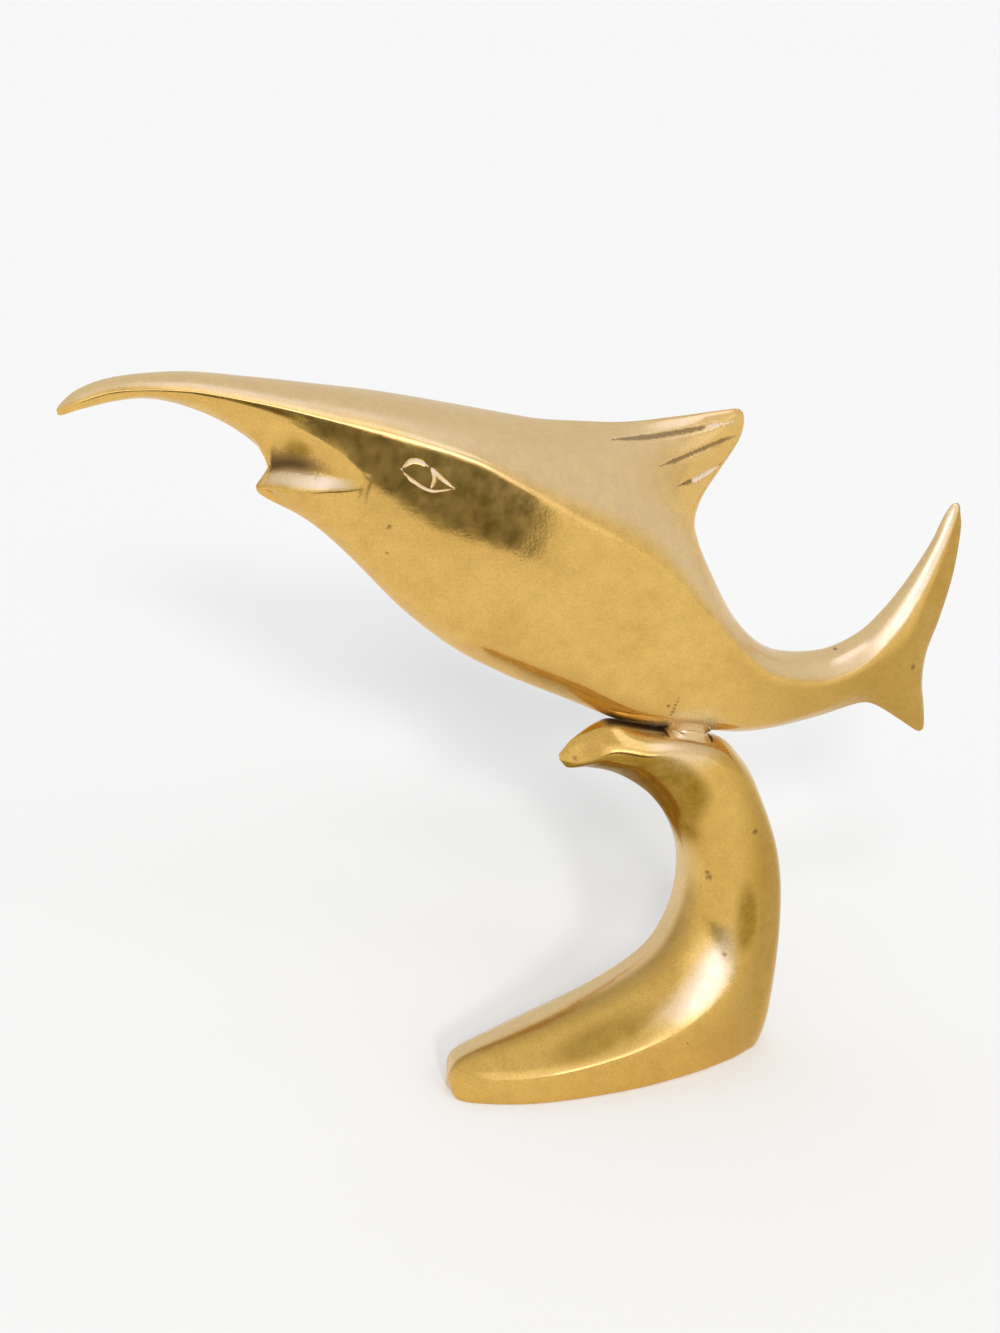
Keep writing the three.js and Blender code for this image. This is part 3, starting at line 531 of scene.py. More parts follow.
EDGE = [
    (0, 0, 4, 5), (0.5, 1.7, 29, 6.1), (1, 5.2, 47, 6.5), (2, 18, 74, 7.1), (3, 31.8, 92, 8.3),
    (4, 51.8, 97, 11), (5, 70.2, 91, 15.9), (6, 81.8, 93, 24.4), (7, 87.6, 95, 34.8),
    (8, 89.7, 100, 48.6), (9, 89.3, 91, 63.8), (10, 85.2, 91, 78.3), (10.5, 81.9, 91, 85.1),
    (10.8, 76.5, 87, 89.9), (11.1, 67.2, 80, 94.2), (11.5, 55.3, 76, 95.8), (12, 46.6, 71, 96.6),
    (12.7, 37, 31, 93.6), (13, 32.7, 5, 92.4),
]
SKIRT = [
    (0, 0, 4, 4.1), (0.5, 1.1, 29, 0), (1, 5.2, 51, 0), (2, 17.2, 82, 0), (3, 31.5, 97, 0),
    (4, 51.4, 100, 0), (5, 69.6, 85, 0), (6, 82.4, 71, 0), (6.6, 90.7, 53, 0.3), (7, 95.1, 58, 9.9),
    (8, 98.3, 67, 36.5), (9, 96.8, 60, 57.8), (10, 89.3, 61, 78.1), (10.5, 84.1, 56, 86.2),
    (10.8, 78.5, 52, 91.4), (11.1, 68.4, 47, 94.7), (11.5, 55.3, 38, 98.3), (12, 46.1, 33, 100.4),
    (12.7, 36.6, 17, 95.9), (13, 32.6, 3, 92.9),
]
SPINE = [
    (0, 0, 4), (0.5, 1.7, 0), (1, 6, 0), (2, 17.2, 0), (3, 31.5, 0), (4, 51.4, 0), (5, 71.2, 0),
    (6, 87.1, 0), (6.6, 96.3, 0.2), (7, 98.7, 10.6), (8, 100, 38), (9, 98.7, 58.5), (10, 91.3, 78.8),
    (10.5, 85.8, 87), (10.8, 80, 92.4), (11.1, 68.8, 95.3), (11.5, 55.3, 99), (12, 45.8, 101.3),
    (12.7, 36.2, 97.2), (13, 32.4, 93.3),
]
# How far the faces bulge, in mm: the foot's from the strip to the edge, the stem's from the strip
# to the curl line, and the curl's top from that line to the spine
FOOT_BULGE = [(0, 0), (1, 0.8), (3, 1.9), (5, 1.8), (6.5, 1), (8, 0)]
STEM_BULGE = [(6.5, 0), (8.5, 1.4), (10, 3.4), (11, 3.2), (12, 1.2), (13, 0)]
TOP_BULGE = [(9.6, 0), (10.8, 1.1), (12, 0.8), (13, 0.1)]
STRIP_SHARE = [(0, 0.4), (0.6, 0.42), (13, 0.45)]
CURL_SHARE = [(9.5, 0.45), (10.8, 0.3), (12.5, 0.25), (13, 0.4)]
EDGE_SHARE = [(0, 0.4), (0.6, 0.12), (6.5, 0.12), (9, 0.3), (10.3, 0.35), (10.8, 0.45)]
SKIRT_SHARE = [(0, 0.4), (0.6, 0.1), (6, 0.1), (7, 0.4), (13, 0.45)]
SPINE_SHARE = [(10, 0.45), (11.5, 0.3), (12.7, 0.3), (13, 0.4)]
WAVE_SHARES = [SOFT, STRIP_SHARE, CURL_SHARE, EDGE_SHARE, SKIRT_SHARE, SPINE_SHARE]

WAVE_LENGTH = 125.8 * MM
# One pair, because the rise is the same at every station
WAVE_RISE = [(0, 131.6 * MM)]
FOOT_WIDTH = 42.4 * MM
STEM_WIDTH = 28 * MM
CURL_WIDTH = 15 * MM
STRIP_WIDTH = 15 * MM
WAVE_WIDTH = [(5, FOOT_WIDTH), (8, STEM_WIDTH), (9, STEM_WIDTH), (12, CURL_WIDTH)]
WAVE_END = 13
WAVE_CORNERS = 5
# The curl's top bulges outwards and upwards, in these shares
TOP_OUT, TOP_UP = 0.75, 0.65


def wave_line(rows, u):
    """A line of the wave in metres, and never below the floor."""
    line = laid_out(rows, u, WAVE_LOW[0], WAVE_LENGTH, WAVE_WIDTH, 0, WAVE_RISE)
    return np.maximum(line, [-1, 0, 0])


def wave_skin(u, v):
    """Half of the wave: u is the station from the toe to the curl's tip, and v goes from the
    inner side's middle, 0, to the spine, 5. The corners carry three shares along, one for each
    bulge, and each bulge is a parabola of its share."""
    inner = wave_line(INNER, u)
    strip = inner.copy()
    strip[:, 1] = curve_through(STRIP, u)[:, 0] / 100 * STRIP_WIDTH / 2
    curl, edge = wave_line(CURL, u), wave_line(EDGE, u)
    upper, lower = np.linalg.norm(curl - strip, axis=1), np.linalg.norm(edge - curl, axis=1)

    corners = np.stack([
        carrying(inner, 0, 0, 0), carrying(strip, 0, 0, 0),
        carrying(curl, upper / (upper + lower), 1, 0), carrying(edge, 1, 1, 0.5),
        carrying(wave_line(SKIRT, u), 1, 1, 0.8), carrying(wave_line(SPINE, u), 1, 1, 1)], 1)
    point = section_point(corners, WAVE_SHARES, u, v)
    foot, stem, top = bulge(np.clip(point[:, 3:], 0, 1)).T
    rise = eased(TOP_BULGE, u) * MM * top
    point[:, 1] += (eased(FOOT_BULGE, u) * foot + eased(STEM_BULGE, u) * stem) * MM + TOP_OUT * rise
    point[:, 2] += TOP_UP * rise
    return point[:, :3]


widest = wave_skin(np.full(50, 3.0), np.linspace(0, WAVE_CORNERS, 50))
print("half width of the foot at station 3, mm:", round(widest[:, 1].max() / MM, 1))

# %% [markdown]
# ## Engraving
# The eye and the fin rays were cut with a graver after polishing. Each is a line with a width, a
# depth and a slow start and end. The cut is laid over the skin as a depth that falls off with the
# distance from the line, so the shape is in the mesh. The graver's chatter is a small ripple.
# Polish has dried white in the eye, at an end of the first ray and along most of the third, and
# the rest holds a brown film.

# %% Engraved lines
EYE_LENGTH = 16.8 * MM
EYE_HEIGHT = 10 * MM
RAY_RUN = 50 * MM
RAY_DROP = 24 * MM
EYE_PERCENT = (35.5, 73.2)
FIN_TIP_STATION = 13
LINE_STEPS = 160
CHATTER_MM = 1.0
CHATTER = 0.12
FADE = 0.3

# Each: points in percent of the length and height, width and depth in mm, and the stretch from
# start to end of the line, as shares of it, where dried polish sits
EYE_LINES = [
    ([(-50, 29), (-32, 52), (-15, 50), (2, 32)], 1.35, 0.3, (0.0, 1.0)),
    ([(6, 30), (14, 12), (26, -8), (50, -44)], 1.15, 0.3, (0.0, 1.0)),
    ([(-50, 29), (-36, -1), (-23, -18), (-8, -36), (13, -48), (50, -44)], 0.85, 0.25, (0.0, 1.0)),
    ([(6, 28), (12, -8), (5, -40)], 0.9, 0.3, (0.0, 1.0)),
]
FIN_RAYS = [
    ([(-100, -26), (-73, -29), (-43, -27), (-8, -21)], 2.5, 0.6, (0.8, 1.0)),
    ([(-67, -68), (-50, -62), (-20, -47), (-7, -42)], 2.4, 0.6, (2.0, 2.0)),
    ([(-54, -98), (-36, -93), (-18, -80)], 2.6, 0.6, (0.35, 0.95)),
]

eye_middle = np.array([FISH_LOW[0] + EYE_PERCENT[0] / 100 * FISH_LENGTH,
                       SEAT + EYE_PERCENT[1] / 100 * HEAD_RISE])
fin_tip = fish_line(BACK, np.array([float(FIN_TIP_STATION)]))[0, [0, 2]]


def drawn_line(anchor, size, percents):
    """Points along a smooth line through percents of a size from an anchor, in the side view."""
    rows = [(i, x / 100 * size[0], z / 100 * size[1]) for i, (x, z) in enumerate(percents)]
    return anchor + curve_through(rows, np.linspace(0, len(rows) - 1, LINE_STEPS))


engraving = [(drawn_line(anchor, size, percents), *cut)
             for anchor, size, lines in ((eye_middle, (EYE_LENGTH, EYE_HEIGHT), EYE_LINES),
                                         (fin_tip, (RAY_RUN, RAY_DROP), FIN_RAYS))
             for percents, *cut in lines]


def cut_into(points):
    """Depth, dark film and dried polish at each point of the skin. Across a line the cut falls
    off as (1 - q^2)^2, where q is the distance over half the width."""
    depth, film, dried = (np.zeros(len(points)) for _ in range(3))
    flat = points[:, [0, 2]]
    for line, width_mm, depth_mm, (chalk_from, chalk_to) in engraving:
        reach = width_mm * MM
        near = np.all((flat > line.min(0) - reach) & (flat < line.max(0) + reach), 1)
        near &= np.abs(points[:, 1]) > LEAST_HALF
        apart = np.linalg.norm(flat[near, None] - line[None], axis=2)
        nearest = apart.argmin(1)
        t = nearest / (LINE_STEPS - 1)
        run = np.linalg.norm(np.diff(line, axis=0), axis=1).sum() / MM
        size = FADE + (1 - FADE) * smoothstep(np.minimum(t, 1 - t) / FADE)
        ripple = 1 + CHATTER * np.sin(2 * math.pi * t * run / CHATTER_MM)
        q = apart.min(1) / (0.5 * width_mm * MM * size * ripple)
        shape = np.where(q < 1, (1 - np.minimum(q, 1) ** 2) ** 2, 0) * ripple
        white = smoothstep((t - chalk_from) / 0.04 + 0.5) * smoothstep((chalk_to - t) / 0.04 + 0.5)
        depth[near] = np.maximum(depth[near], shape * depth_mm * MM * size)
        film[near] = np.maximum(film[near], smoothstep(shape * 2.2) * (1 - white))
        dried[near] = np.maximum(dried[near], smoothstep(shape * 2.6) * white)
    return depth, film, dried


print("engraved lines:", len(engraving))

# %% [markdown]
# ## From two numbers to a mesh
# The skin's mesh starts flat, in the plane of the two numbers: stations one way, the way round
# the section the other. Lines of that grid crowd together at the corners, where a crisp edge
# needs them. Faces near the engraving are cut finer while all is still flat, and only then does
# the skin function lift every point to its place at once. The seam on the back and the two tips
# close when points that fall on each other are merged.

# %% Skinning
CROWDING = 0.72
TIP_STATIONS = 0.02
TRIAL_STATIONS = 2000


def vertices(mesh, field="co"):
    """Three numbers of every vertex: its place, or its normal."""
    numbers = np.zeros(len(mesh.vertices) * 3)
    mesh.vertices.foreach_get(field, numbers)
    return numbers.reshape(-1, 3)


def crowded(corners, per_run):
    """Grid lines round half a section, crowded towards each corner by a sine."""
    f = np.arange(corners * per_run + 1) / per_run
    return f - CROWDING * np.sin(2 * math.pi * f) / (2 * math.pi)


def even_stations(skin, end, corners, count):
    """Stations at even steps of the longest way along the skin."""
    fine = np.linspace(0, end, TRIAL_STATIONS)
    runs = [skin(fine, np.full(len(fine), float(v))) for v in range(corners + 1)]
    steps = np.max([np.linalg.norm(np.diff(run, axis=0), axis=1) for run in runs], 0)
    travelled = np.concatenate([[0], np.cumsum(steps)])
    return np.interp(np.linspace(0, travelled[-1], count), travelled, fine)


def lifted(skin, end, corners, flat):
    """Points in space for flat points (station, way round), and the way from the first corner to
    each. Beyond each end the section shrinks to a point, which closes the tip. The way round goes
    down one side and up the other."""
    u, w = flat[:, 0], flat[:, 1]
    way = np.where(w <= corners, w, 2 * corners - w)
    inside = np.clip(u, 0, end)
    points = skin(inside, way)
    points[:, 1] *= np.where(w <= corners, -1.0, 1.0)
    past = np.maximum(-u, u - end) / TIP_STATIONS
    tip = past > 0
    first, last = (skin(inside[tip], np.full(tip.sum(), v)) for v in (0, corners))
    middle = (first + last) / 2
    points[tip] = middle + (points[tip] - middle) * (1 - np.minimum(past[tip], 1))[:, None]
    return points, way


def skinned(name, skin, end, corners, stations, per_run, fine_zone=None, cuts=3):
    """A closed mesh of a mirrored skin, the station and way of each vertex, and its place.
    fine_zone picks the faces that are cut finer."""
    half = crowded(corners, per_run)
    around = np.concatenate([half, 2 * corners - half[-2::-1]])
    along = np.concatenate([[-TIP_STATIONS], even_stations(skin, end, corners, stations),
                            [end + TIP_STATIONS]])
    grid = np.stack(np.meshgrid(along, around, indexing="ij"), -1).reshape(-1, 2)
    columns = len(around)
    corner = (np.arange(len(along) - 1)[:, None] * columns + np.arange(columns - 1)).reshape(-1)
    faces = np.stack([corner, corner + 1, corner + columns + 1, corner + columns], 1)
    mesh = bpy.data.meshes.new(name)
    mesh.from_pydata(np.column_stack([grid, np.zeros(len(grid))]).tolist(), [], faces.tolist())
    net = bmesh.new()
    net.from_mesh(mesh)
    if fine_zone is not None:
        points, _ = lifted(skin, end, corners, grid)
        chosen = np.flatnonzero(fine_zone(points[faces].mean(1)))
        net.faces.ensure_lookup_table()
        edges = {edge for i in chosen for edge in net.faces[i].edges}
        bmesh.ops.subdivide_edges(net, edges=list(edges), cuts=cuts, use_grid_fill=True)
    net.to_mesh(mesh)
    net.free()
    flat = vertices(mesh)[:, :2]
    points, way = lifted(skin, end, corners, flat)
    return mesh, flat[:, 0], way, points


def finish_piece(mesh, points, layers, material, nodes):
    """Puts points and named layers into the mesh, merges the seam and tips, turns faces outwards,
    and hands the piece over to the construction model's nodes."""
    mesh.vertices.foreach_set("co", points.astype(np.float32).reshape(-1))
    for name, values in layers.items():
        layer = mesh.attributes.new(name, "FLOAT", "POINT")
        layer.data.foreach_set("value", values.astype(np.float32))
    net = bmesh.new()
    net.from_mesh(mesh)
    bmesh.ops.remove_doubles(net, verts=net.verts, dist=1e-6)
    bmesh.ops.dissolve_degenerate(net, edges=net.edges, dist=1e-7)
    bmesh.ops.recalc_face_normals(net, faces=net.faces)
    open_edges = sum(1 for edge in net.edges if not edge.is_manifold)
    net.to_mesh(mesh)
    net.free()
    mesh.polygons.foreach_set("use_smooth", np.ones(len(mesh.polygons), bool))
    mesh.materials.append(material)
    piece = placed(mesh.name, mesh)
    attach(piece, "root")
    if nodes:
        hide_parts(*nodes)
    triangles = sum(len(face.vertices) - 2 for face in mesh.polygons)
    print(piece.name, "triangles:", triangles, "open edges:", open_edges)
    return piece


# %% [markdown]
# ## Where the finishes lie
# Each finish is a layer of one number per vertex. A patch lies between two stations and between
# two ways round, and fades at each of its four sides, and a spot is an oval on the near side. The
# stronger finish stays where two meet. Round the neck the mop can't reach, so haze gathers there.
# Some patches and spots are not finish but painted light: highlights, dark reflections and shade.

# %% Where the finishes lie
JOINT_X = (STUD_LOW[0] + STUD_HIGH[0]) / 2
NECK_HAZE, NECK_HAZE_DROP = 0.4, 6 * MM
NECK_HAZE_REACH, NECK_HAZE_FADE = 20 * MM, 9 * MM


def band(x, start, rise, end, fall):
    """1 inside a range, by an even S over the rise after its start and the fall before its end."""
    return smoothstep((x - start) / rise) * smoothstep((end - x) / fall)


def lay(layers, name, amount):
    """Lays a finish over a layer, where it is stronger than what is there."""
    layers[name] = np.maximum(layers[name], amount)


def lay_by_place(layers, u, way, points, patches, spots):
    """Lays patches, which are a band of stations times a band of the way round, and spots, which
    fade by an even S of the distance from their middle, measured in their own two reaches."""
    for name, amount, stations, ways in patches:
        lay(layers, name, amount * band(u, *stations) * band(way, *ways))
    for name, amount, station, place, along, across, edge in spots:
        apart = np.hypot((u - station) / along, (way - place) / across)
        lay(layers, name, amount * smoothstep(edge - apart) * (points[:, 1] < 0))
    lay(layers, "haze_and_painted_sheen", by_neck(points))


def by_neck(points):
    """The haze round the neck, by the distance from a point a little below the joint."""
    apart = np.linalg.norm(points - [JOINT_X, 0, SEAT - NECK_HAZE_DROP], axis=1)
    return NECK_HAZE * smoothstep((NECK_HAZE_REACH - apart) / NECK_HAZE_FADE)


print("neck stands at x, mm:", round(JOINT_X / MM, 2))

# %% [markdown]
# ## The fish
# The finest faces are 0.3 mm, round the eye and the fin rays, and the rest are about 1 mm. A pale
# haze lies on the back, less on the fin, and is partly painted light: the back's brighter reflection
# of the room above. A brown film sits in the mouth, and painted shade darkens the belly over the
# gap to the curl. A pale haze on the lower lip stands for dried polish and is partly a painted
# highlight. A dark band under the bill's ridge is a painted dark reflection. The tail's flank and
# the belly's underside are a darker gold, and a tarnish spot lies on the jaw.

# %% The fish
FISH_STATIONS, FISH_PER_RUN = 300, 13
GAP_SHADE_REACH = 5 * MM
BOX_MARGIN = 2.2 * MM
FINE_MARGIN = 1.6 * MM
FILM_LEFT = 0.75
# Layer and strength, then start, rise, end and fall along the stations and round the section
FISH_PATCHES = [
    ("film_and_painted_shade", 0.95, (4, 0.4, 6.3, 1.2), (3.15, 0.8, 4.75, 0.8)),
    # The lower lip's pale haze is partly a painted highlight
    ("haze_and_painted_sheen", 0.7, (4.5, 0.4, 6.1, 0.3), (4.05, 0.3, 4.95, 0.3)),
    # These two rows are a painted dark reflection under the bill's ridge
    ("tarnish_and_painted_shade", 1, (2.8, 1.2, 5.3, 0.8), (2.08, 0.15, 2.75, 0.3)),
    ("film_and_painted_shade", 0.75, (2.8, 1.2, 5.3, 0.8), (2.08, 0.15, 2.75, 0.3)),
    ("tarnish_and_painted_shade", 0.45, (15.5, 5, FAR, 1), (2.2, 0.8, FAR, 1)),
    ("tarnish_and_painted_shade", 0.25, (8, 3, 15, 2), (5.3, 1.2, FAR, 1)),
]
# Layer and strength, station, way round, reach along and across, and how far out it fades
FISH_SPOTS = [("tarnish_and_painted_shade", 0.7, 5, 3.5, 0.3, 0.25, 1.4)]


def near_engraving(middles):
    """Which faces lie near an engraved line, by their middles."""
    chosen = np.zeros(len(middles), bool)
    flat = middles[:, [0, 2]]
    for line, width_mm, _, _ in engraving:
        box = np.all((flat > line.min(0) - BOX_MARGIN) & (flat < line.max(0) + BOX_MARGIN), 1)
        apart = np.linalg.norm(flat[box][:, None] - line[None, ::4], axis=2).min(1)
        chosen[np.flatnonzero(box)[apart < width_mm / 2 * MM + FINE_MARGIN]] = True
    return chosen


mesh, u, way, points = skinned("swordfish", fish_skin, FISH_END, FISH_CORNERS, FISH_STATIONS,
                               FISH_PER_RUN, near_engraving)
depth, film, dried = cut_into(points)
inward = np.minimum(depth, np.abs(points[:, 1]) - LEAST_HALF).clip(0)
points[:, 1] -= np.sign(points[:, 1]) * inward
# The back ends at the ridge, corner 2, and past the eye a little below it
on_back = smoothstep((2 + 0.2 * smoothstep(u - 6.2) - way) / 0.5)
on_fin = band(u, 11, 2.5, 16.5, 1.5) * smoothstep((1.7 - way) / 0.8)
# The back's haze is partly painted light: the back's brighter reflection of the room above
layers = {"haze_and_painted_sheen": 0.5 * on_back * (1 - 0.8 * on_fin), "film_and_painted_shade": FILM_LEFT * film, "chalk": dried,
          "tarnish_and_painted_shade": np.zeros(len(points))}
lay_by_place(layers, u, way, points, FISH_PATCHES, FISH_SPOTS)
# Painted shade: a brown film on the belly over the gap to the curl, before the neck
over_gap = smoothstep((SEAT + GAP_SHADE_REACH - points[:, 2]) / GAP_SHADE_REACH)
before_neck = smoothstep((JOINT_X + 3 * GAP_SHADE_REACH - points[:, 0]) / GAP_SHADE_REACH)
lay(layers, "film_and_painted_shade", 0.5 * over_gap * before_neck)
swordfish = finish_piece(mesh, points, layers, fish_brass, ["swordfish_casting"])

# %% [markdown]
# ## The wave
# The same skinning serves the wave. Its inner strip faces away from the mop, so it keeps the
# strongest haze. The dark gold band beside it is a painted dark reflection, and the dark gold under
# the curl is painted shade. The near side has three dark gold spots, which are painted dark
# reflections, and one pale spot, which is a painted highlight. The gap under the belly, before and
# past the neck, is darkened with a brown film that is painted shade.

# %% The wave
WAVE_STATIONS, WAVE_PER_RUN = 220, 14
WAVE_PATCHES = [
    ("haze_and_painted_sheen", 0.5, (-FAR, 1, 9.3, 1.5), (-FAR, 1, 1.6, 0.9)),
    # A painted dark reflection: the dark gold band beside the strip
    ("tarnish_and_painted_shade", 0.6, (-FAR, 1, 7.8, 1.2), (0.9, 0.3, 1.7, 0.6)),
]
# A painted highlight, the pale spot, and three painted dark reflections, the dark gold spots
WAVE_PAINTED_SPOTS = [
    ("haze_and_painted_sheen", 0.5, 5.6, 2.35, 1.1, 0.4, 1.5), ("tarnish_and_painted_shade", 0.8, 7.4, 2.7, 0.9, 0.35, 1.3),
    ("tarnish_and_painted_shade", 0.6, 3.6, 2.3, 1, 0.6, 1.3), ("tarnish_and_painted_shade", 0.5, 8.3, 3.4, 3, 0.9, 1.3),
]
# Painted shade in the gap: start, rise, end and fall, in mm from the joint
GAP_PAINTED_SHADE = [(-32, 6, -4, 1), (8, 1, 13, 3)]

mesh, u, way, points = skinned("wave", wave_skin, WAVE_END, WAVE_CORNERS, WAVE_STATIONS, WAVE_PER_RUN)
layers = {name: np.zeros(len(points)) for name in ("haze_and_painted_sheen", "film_and_painted_shade", "chalk", "tarnish_and_painted_shade")}
lay_by_place(layers, u, way, points, WAVE_PATCHES, WAVE_PAINTED_SPOTS)
# The dark gold under the curl is painted shade. It ends between the strip and the curl line, and
# closer to that line near the tip
under_curl = smoothstep((1.65 + 0.5 * smoothstep(u - 9) - way) / 0.4)
lay(layers, "tarnish_and_painted_shade", 0.75 * under_curl * smoothstep((u - 8.1) / 0.8))
# A brown film on the curl's top in the gap under the belly is painted shade
in_gap = sum(band((points[:, 0] - JOINT_X) / MM, *grime) for grime in GAP_PAINTED_SHADE)
# Only the curl's top, past the outer edge, and not far below the joint
on_top = smoothstep((way - 3.3) / 0.9) * smoothstep((points[:, 2] - SEAT) / (8 * MM) + 2)
lay(layers, "film_and_painted_shade", in_gap * on_top)
wave = finish_piece(mesh, points, layers, wave_brass, ["wave_casting"])

# %% [markdown]
# ## The neck and its braze
# A short neck stands on the curl and goes into the belly. The founder left a hollow at its foot,
# and the braze at its top was filed to a hollow too, so it flows from one casting into the other.
# Both hollows are a quarter of an ellipse between the neck's wall and the skin that it meets. The
# neck is squarish, a little wider across than along. The height of the skin round it is fitted to
# the skin's own points, with terms that allow a crease in the middle plane. A brown film is painted
# shade where the hollows run out before and past the neck.

# %% The neck and its braze
NECK_X = JOINT_X + 2 * MM
NECK_RADIUS = 6.9 * MM
NECK_ACROSS = 1.02
NECK_SQUARENESS = 3
NECK_FOOT = 3.0 * MM
NECK_FOOT_ACROSS = 1.5 * MM
BRAZE_HOLLOW = 1.8 * MM
AROUND = 96
HOLLOW_STEPS = 10
CURL_REACH, BELLY_REACH = 1.55, 2.0
NECK_SHADE_FROM = 1.05
BURIED = 1.5 * MM


def heights_near_neck(piece, up, reach):
    """Coefficients of the height's terms near the neck, in neck radii. Only skin within a neck's
    width of the joint's height counts."""
    points, normals = vertices(piece.data), vertices(piece.data, "normal")
    x, y = (points[:, 0] - NECK_X) / NECK_RADIUS, points[:, 1] / NECK_RADIUS
    near = (x * x + y * y < reach**2) & (normals[:, 2] * up > 0.2)
    near &= np.abs(points[:, 2] - SEAT) < 2 * NECK_RADIUS
    terms = height_terms(x[near], y[near])
    return np.linalg.lstsq(terms, points[near, 2], rcond=None)[0]


def height_terms(x, y):
    """The terms of the height: 1, x, x^2, x^3, |y|, y^2, x|y| and xy^2."""
    return np.stack([np.ones_like(x), x, x * x, x**3, np.abs(y), y * y, x * np.abs(y), x * y * y], -1)


def hollow_ring(surface, direction, hollow_along, hollow_across):
    """Rings of a hollow between the neck's wall and a skin. The angle goes round the neck, whose
    section is a squarish oval, and t goes from the wall to the skin along a quarter of an ellipse."""
    angle = np.linspace(0, 2 * math.pi, AROUND, endpoint=False)
    t = np.linspace(0, math.pi / 2, HOLLOW_STEPS)[:, None]
    cosine, sine = np.cos(angle), np.sin(angle)
    hollow = hollow_across + (hollow_along - hollow_across) * cosine**2
    square = (np.abs(cosine) ** NECK_SQUARENESS + np.abs(sine) ** NECK_SQUARENESS) ** (-1 / NECK_SQUARENESS)
    out = (1 + hollow / NECK_RADIUS * (1 - np.cos(t))) * square
    x, y = out * cosine, out * sine * NECK_ACROSS
    z = height_terms(x, y) @ surface + direction * hollow * (1 - np.sin(t))
    return np.stack([NECK_X + x * NECK_RADIUS, y * NECK_RADIUS, z], -1)


def ringed(name, rings, material, nodes):
    """A closed mesh from rings of points, with a flat cap at each end."""
    points = np.concatenate(rings + [rings[0].mean(0)[None], rings[-1].mean(0)[None]])
    start = np.arange(len(rings) - 1)[:, None] * AROUND
    here, after = np.arange(AROUND), np.roll(np.arange(AROUND), -1)
    walls = np.stack([start + here, start + after, start + AROUND + after, start + AROUND + here], -1)
    first, last = len(points) - 2, len(points) - 1
    end = (len(rings) - 1) * AROUND
    caps = [(first, int(b), int(a)) for a, b in zip(here, after)]
    caps += [(last, end + int(a), end + int(b)) for a, b in zip(here, after)]
    mesh = bpy.data.meshes.new(name)
    mesh.from_pydata(points.tolist(), [], walls.reshape(-1, 4).tolist() + caps)
    nothing = np.zeros(len(points))
    # Painted shade: a brown film where the hollows run out before and past the neck
    film = smoothstep((np.abs(points[:, 0] - NECK_X) - NECK_SHADE_FROM * NECK_RADIUS) / MM)
    layers = {"haze_and_painted_sheen": by_neck(points), "film_and_painted_shade": film, "chalk": nothing, "tarnish_and_painted_shade": nothing}
    return finish_piece(mesh, points, layers, material, nodes)


curl_top = heights_near_neck(wave, 1, CURL_REACH)
belly_skin = heights_near_neck(swordfish, -1, BELLY_REACH)
foot_rings = hollow_ring(curl_top, 1, NECK_FOOT, NECK_FOOT_ACROSS)[::-1]
foot_start = foot_rings[0] - [0, 0, BURIED]
wall_top = foot_rings[-1].copy()
across = (wall_top - [NECK_X, 0, 0]) / NECK_RADIUS
wall_top[:, 2] = height_terms(across[:, 0], across[:, 1]) @ belly_skin
wall_top[:, 2] = np.minimum(wall_top[:, 2] + BURIED, SEAT)
neck = ringed("wave_neck", [foot_start, *foot_rings, wall_top], wave_brass, [])
braze_rings = hollow_ring(belly_skin, -1, BRAZE_HOLLOW, BRAZE_HOLLOW)
braze_fillet = ringed("braze_fillet", [*braze_rings, braze_rings[-1] + [0, 0, BURIED]], braze,
                      ["braze_bead"])

# %% [markdown]
# ## The stud
# A threaded stud holds the castings together inside the neck. It never shows, so the construction
# model's own stays, with the grey of turned steel. The bands of the lathe's feed are drawn along it.

# %% The stud
TURNING_MM = 0.4
WAVES_PER_SCALE = 20
stud_steel, tree = new_material("turned_steel")
place = add(tree, "TexCoord", out="Object")
feed = add(tree, "TexWave",
           {"Vector": place, "Scale": 1 / (TURNING_MM * MM) / WAVES_PER_SCALE, "Distortion": 0.5},
           "Fac", wave_type="BANDS", bands_direction="Z")
grey = add(tree, "Mix", {0: feed, 6: linear("#A9A69E"), 7: linear("#BDBAB2")}, 2, data_type="RGBA")
steel = add(tree, "BsdfPrincipled", {"Base Color": grey, "Metallic": 1.0, "Roughness": 0.35})
add(tree, "OutputMaterial", (steel,))
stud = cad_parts["joining_stud"]
stud.data.materials.clear()
stud.data.materials.append(stud_steel)
print("stud is", round((STUD_HIGH[2] - STUD_LOW[2]) / MM, 1), "mm long")

# %% [markdown]
# ## Floor
# The object stands on white paper. Polished metal shows what stands round it, so most of the look
# of brass is made here: the flanks mirror the pale floor, and the upper flank of the head mirrors
# a dark table past the paper's front edge. The table is a flat card that only reflections see, and
# its edge is drawn so that the dark patch behind the eye ends where it does.

# %% Floor
FLOOR_SIZE = 24
TABLE_HEIGHT = 0.5 * MM
DULL = 0.9
TABLE_EDGE = [(-0.19, -0.42), (-0.175, -0.38), (-0.16, -0.37), (-0.148, -0.47), (-0.12, -0.482),
              (0.0, -0.468), (0.05, -0.43), (0.185, -0.80), (0.9, -2.6), (-0.19, -2.6)]


def flat_sheet(name, outline, height, material):
    """A flat sheet with a given outline at a height."""
    mesh = bpy.data.meshes.new(name)
    mesh.from_pydata([(x, y, height) for x, y in outline], [], [tuple(range(len(outline)))])
    mesh.materials.append(material)
    sheet = placed(name, mesh)
    return sheet


def plain(name, colour, roughness):
    """A plain dull surface: paper or a painted board."""
    material, tree = new_material(name)
    surface = add(tree, "BsdfPrincipled",
                  {"Base Color": linear(colour), "Roughness": roughness, "Specular IOR Level": 0.1})
    add(tree, "OutputMaterial", (surface,))
    return material


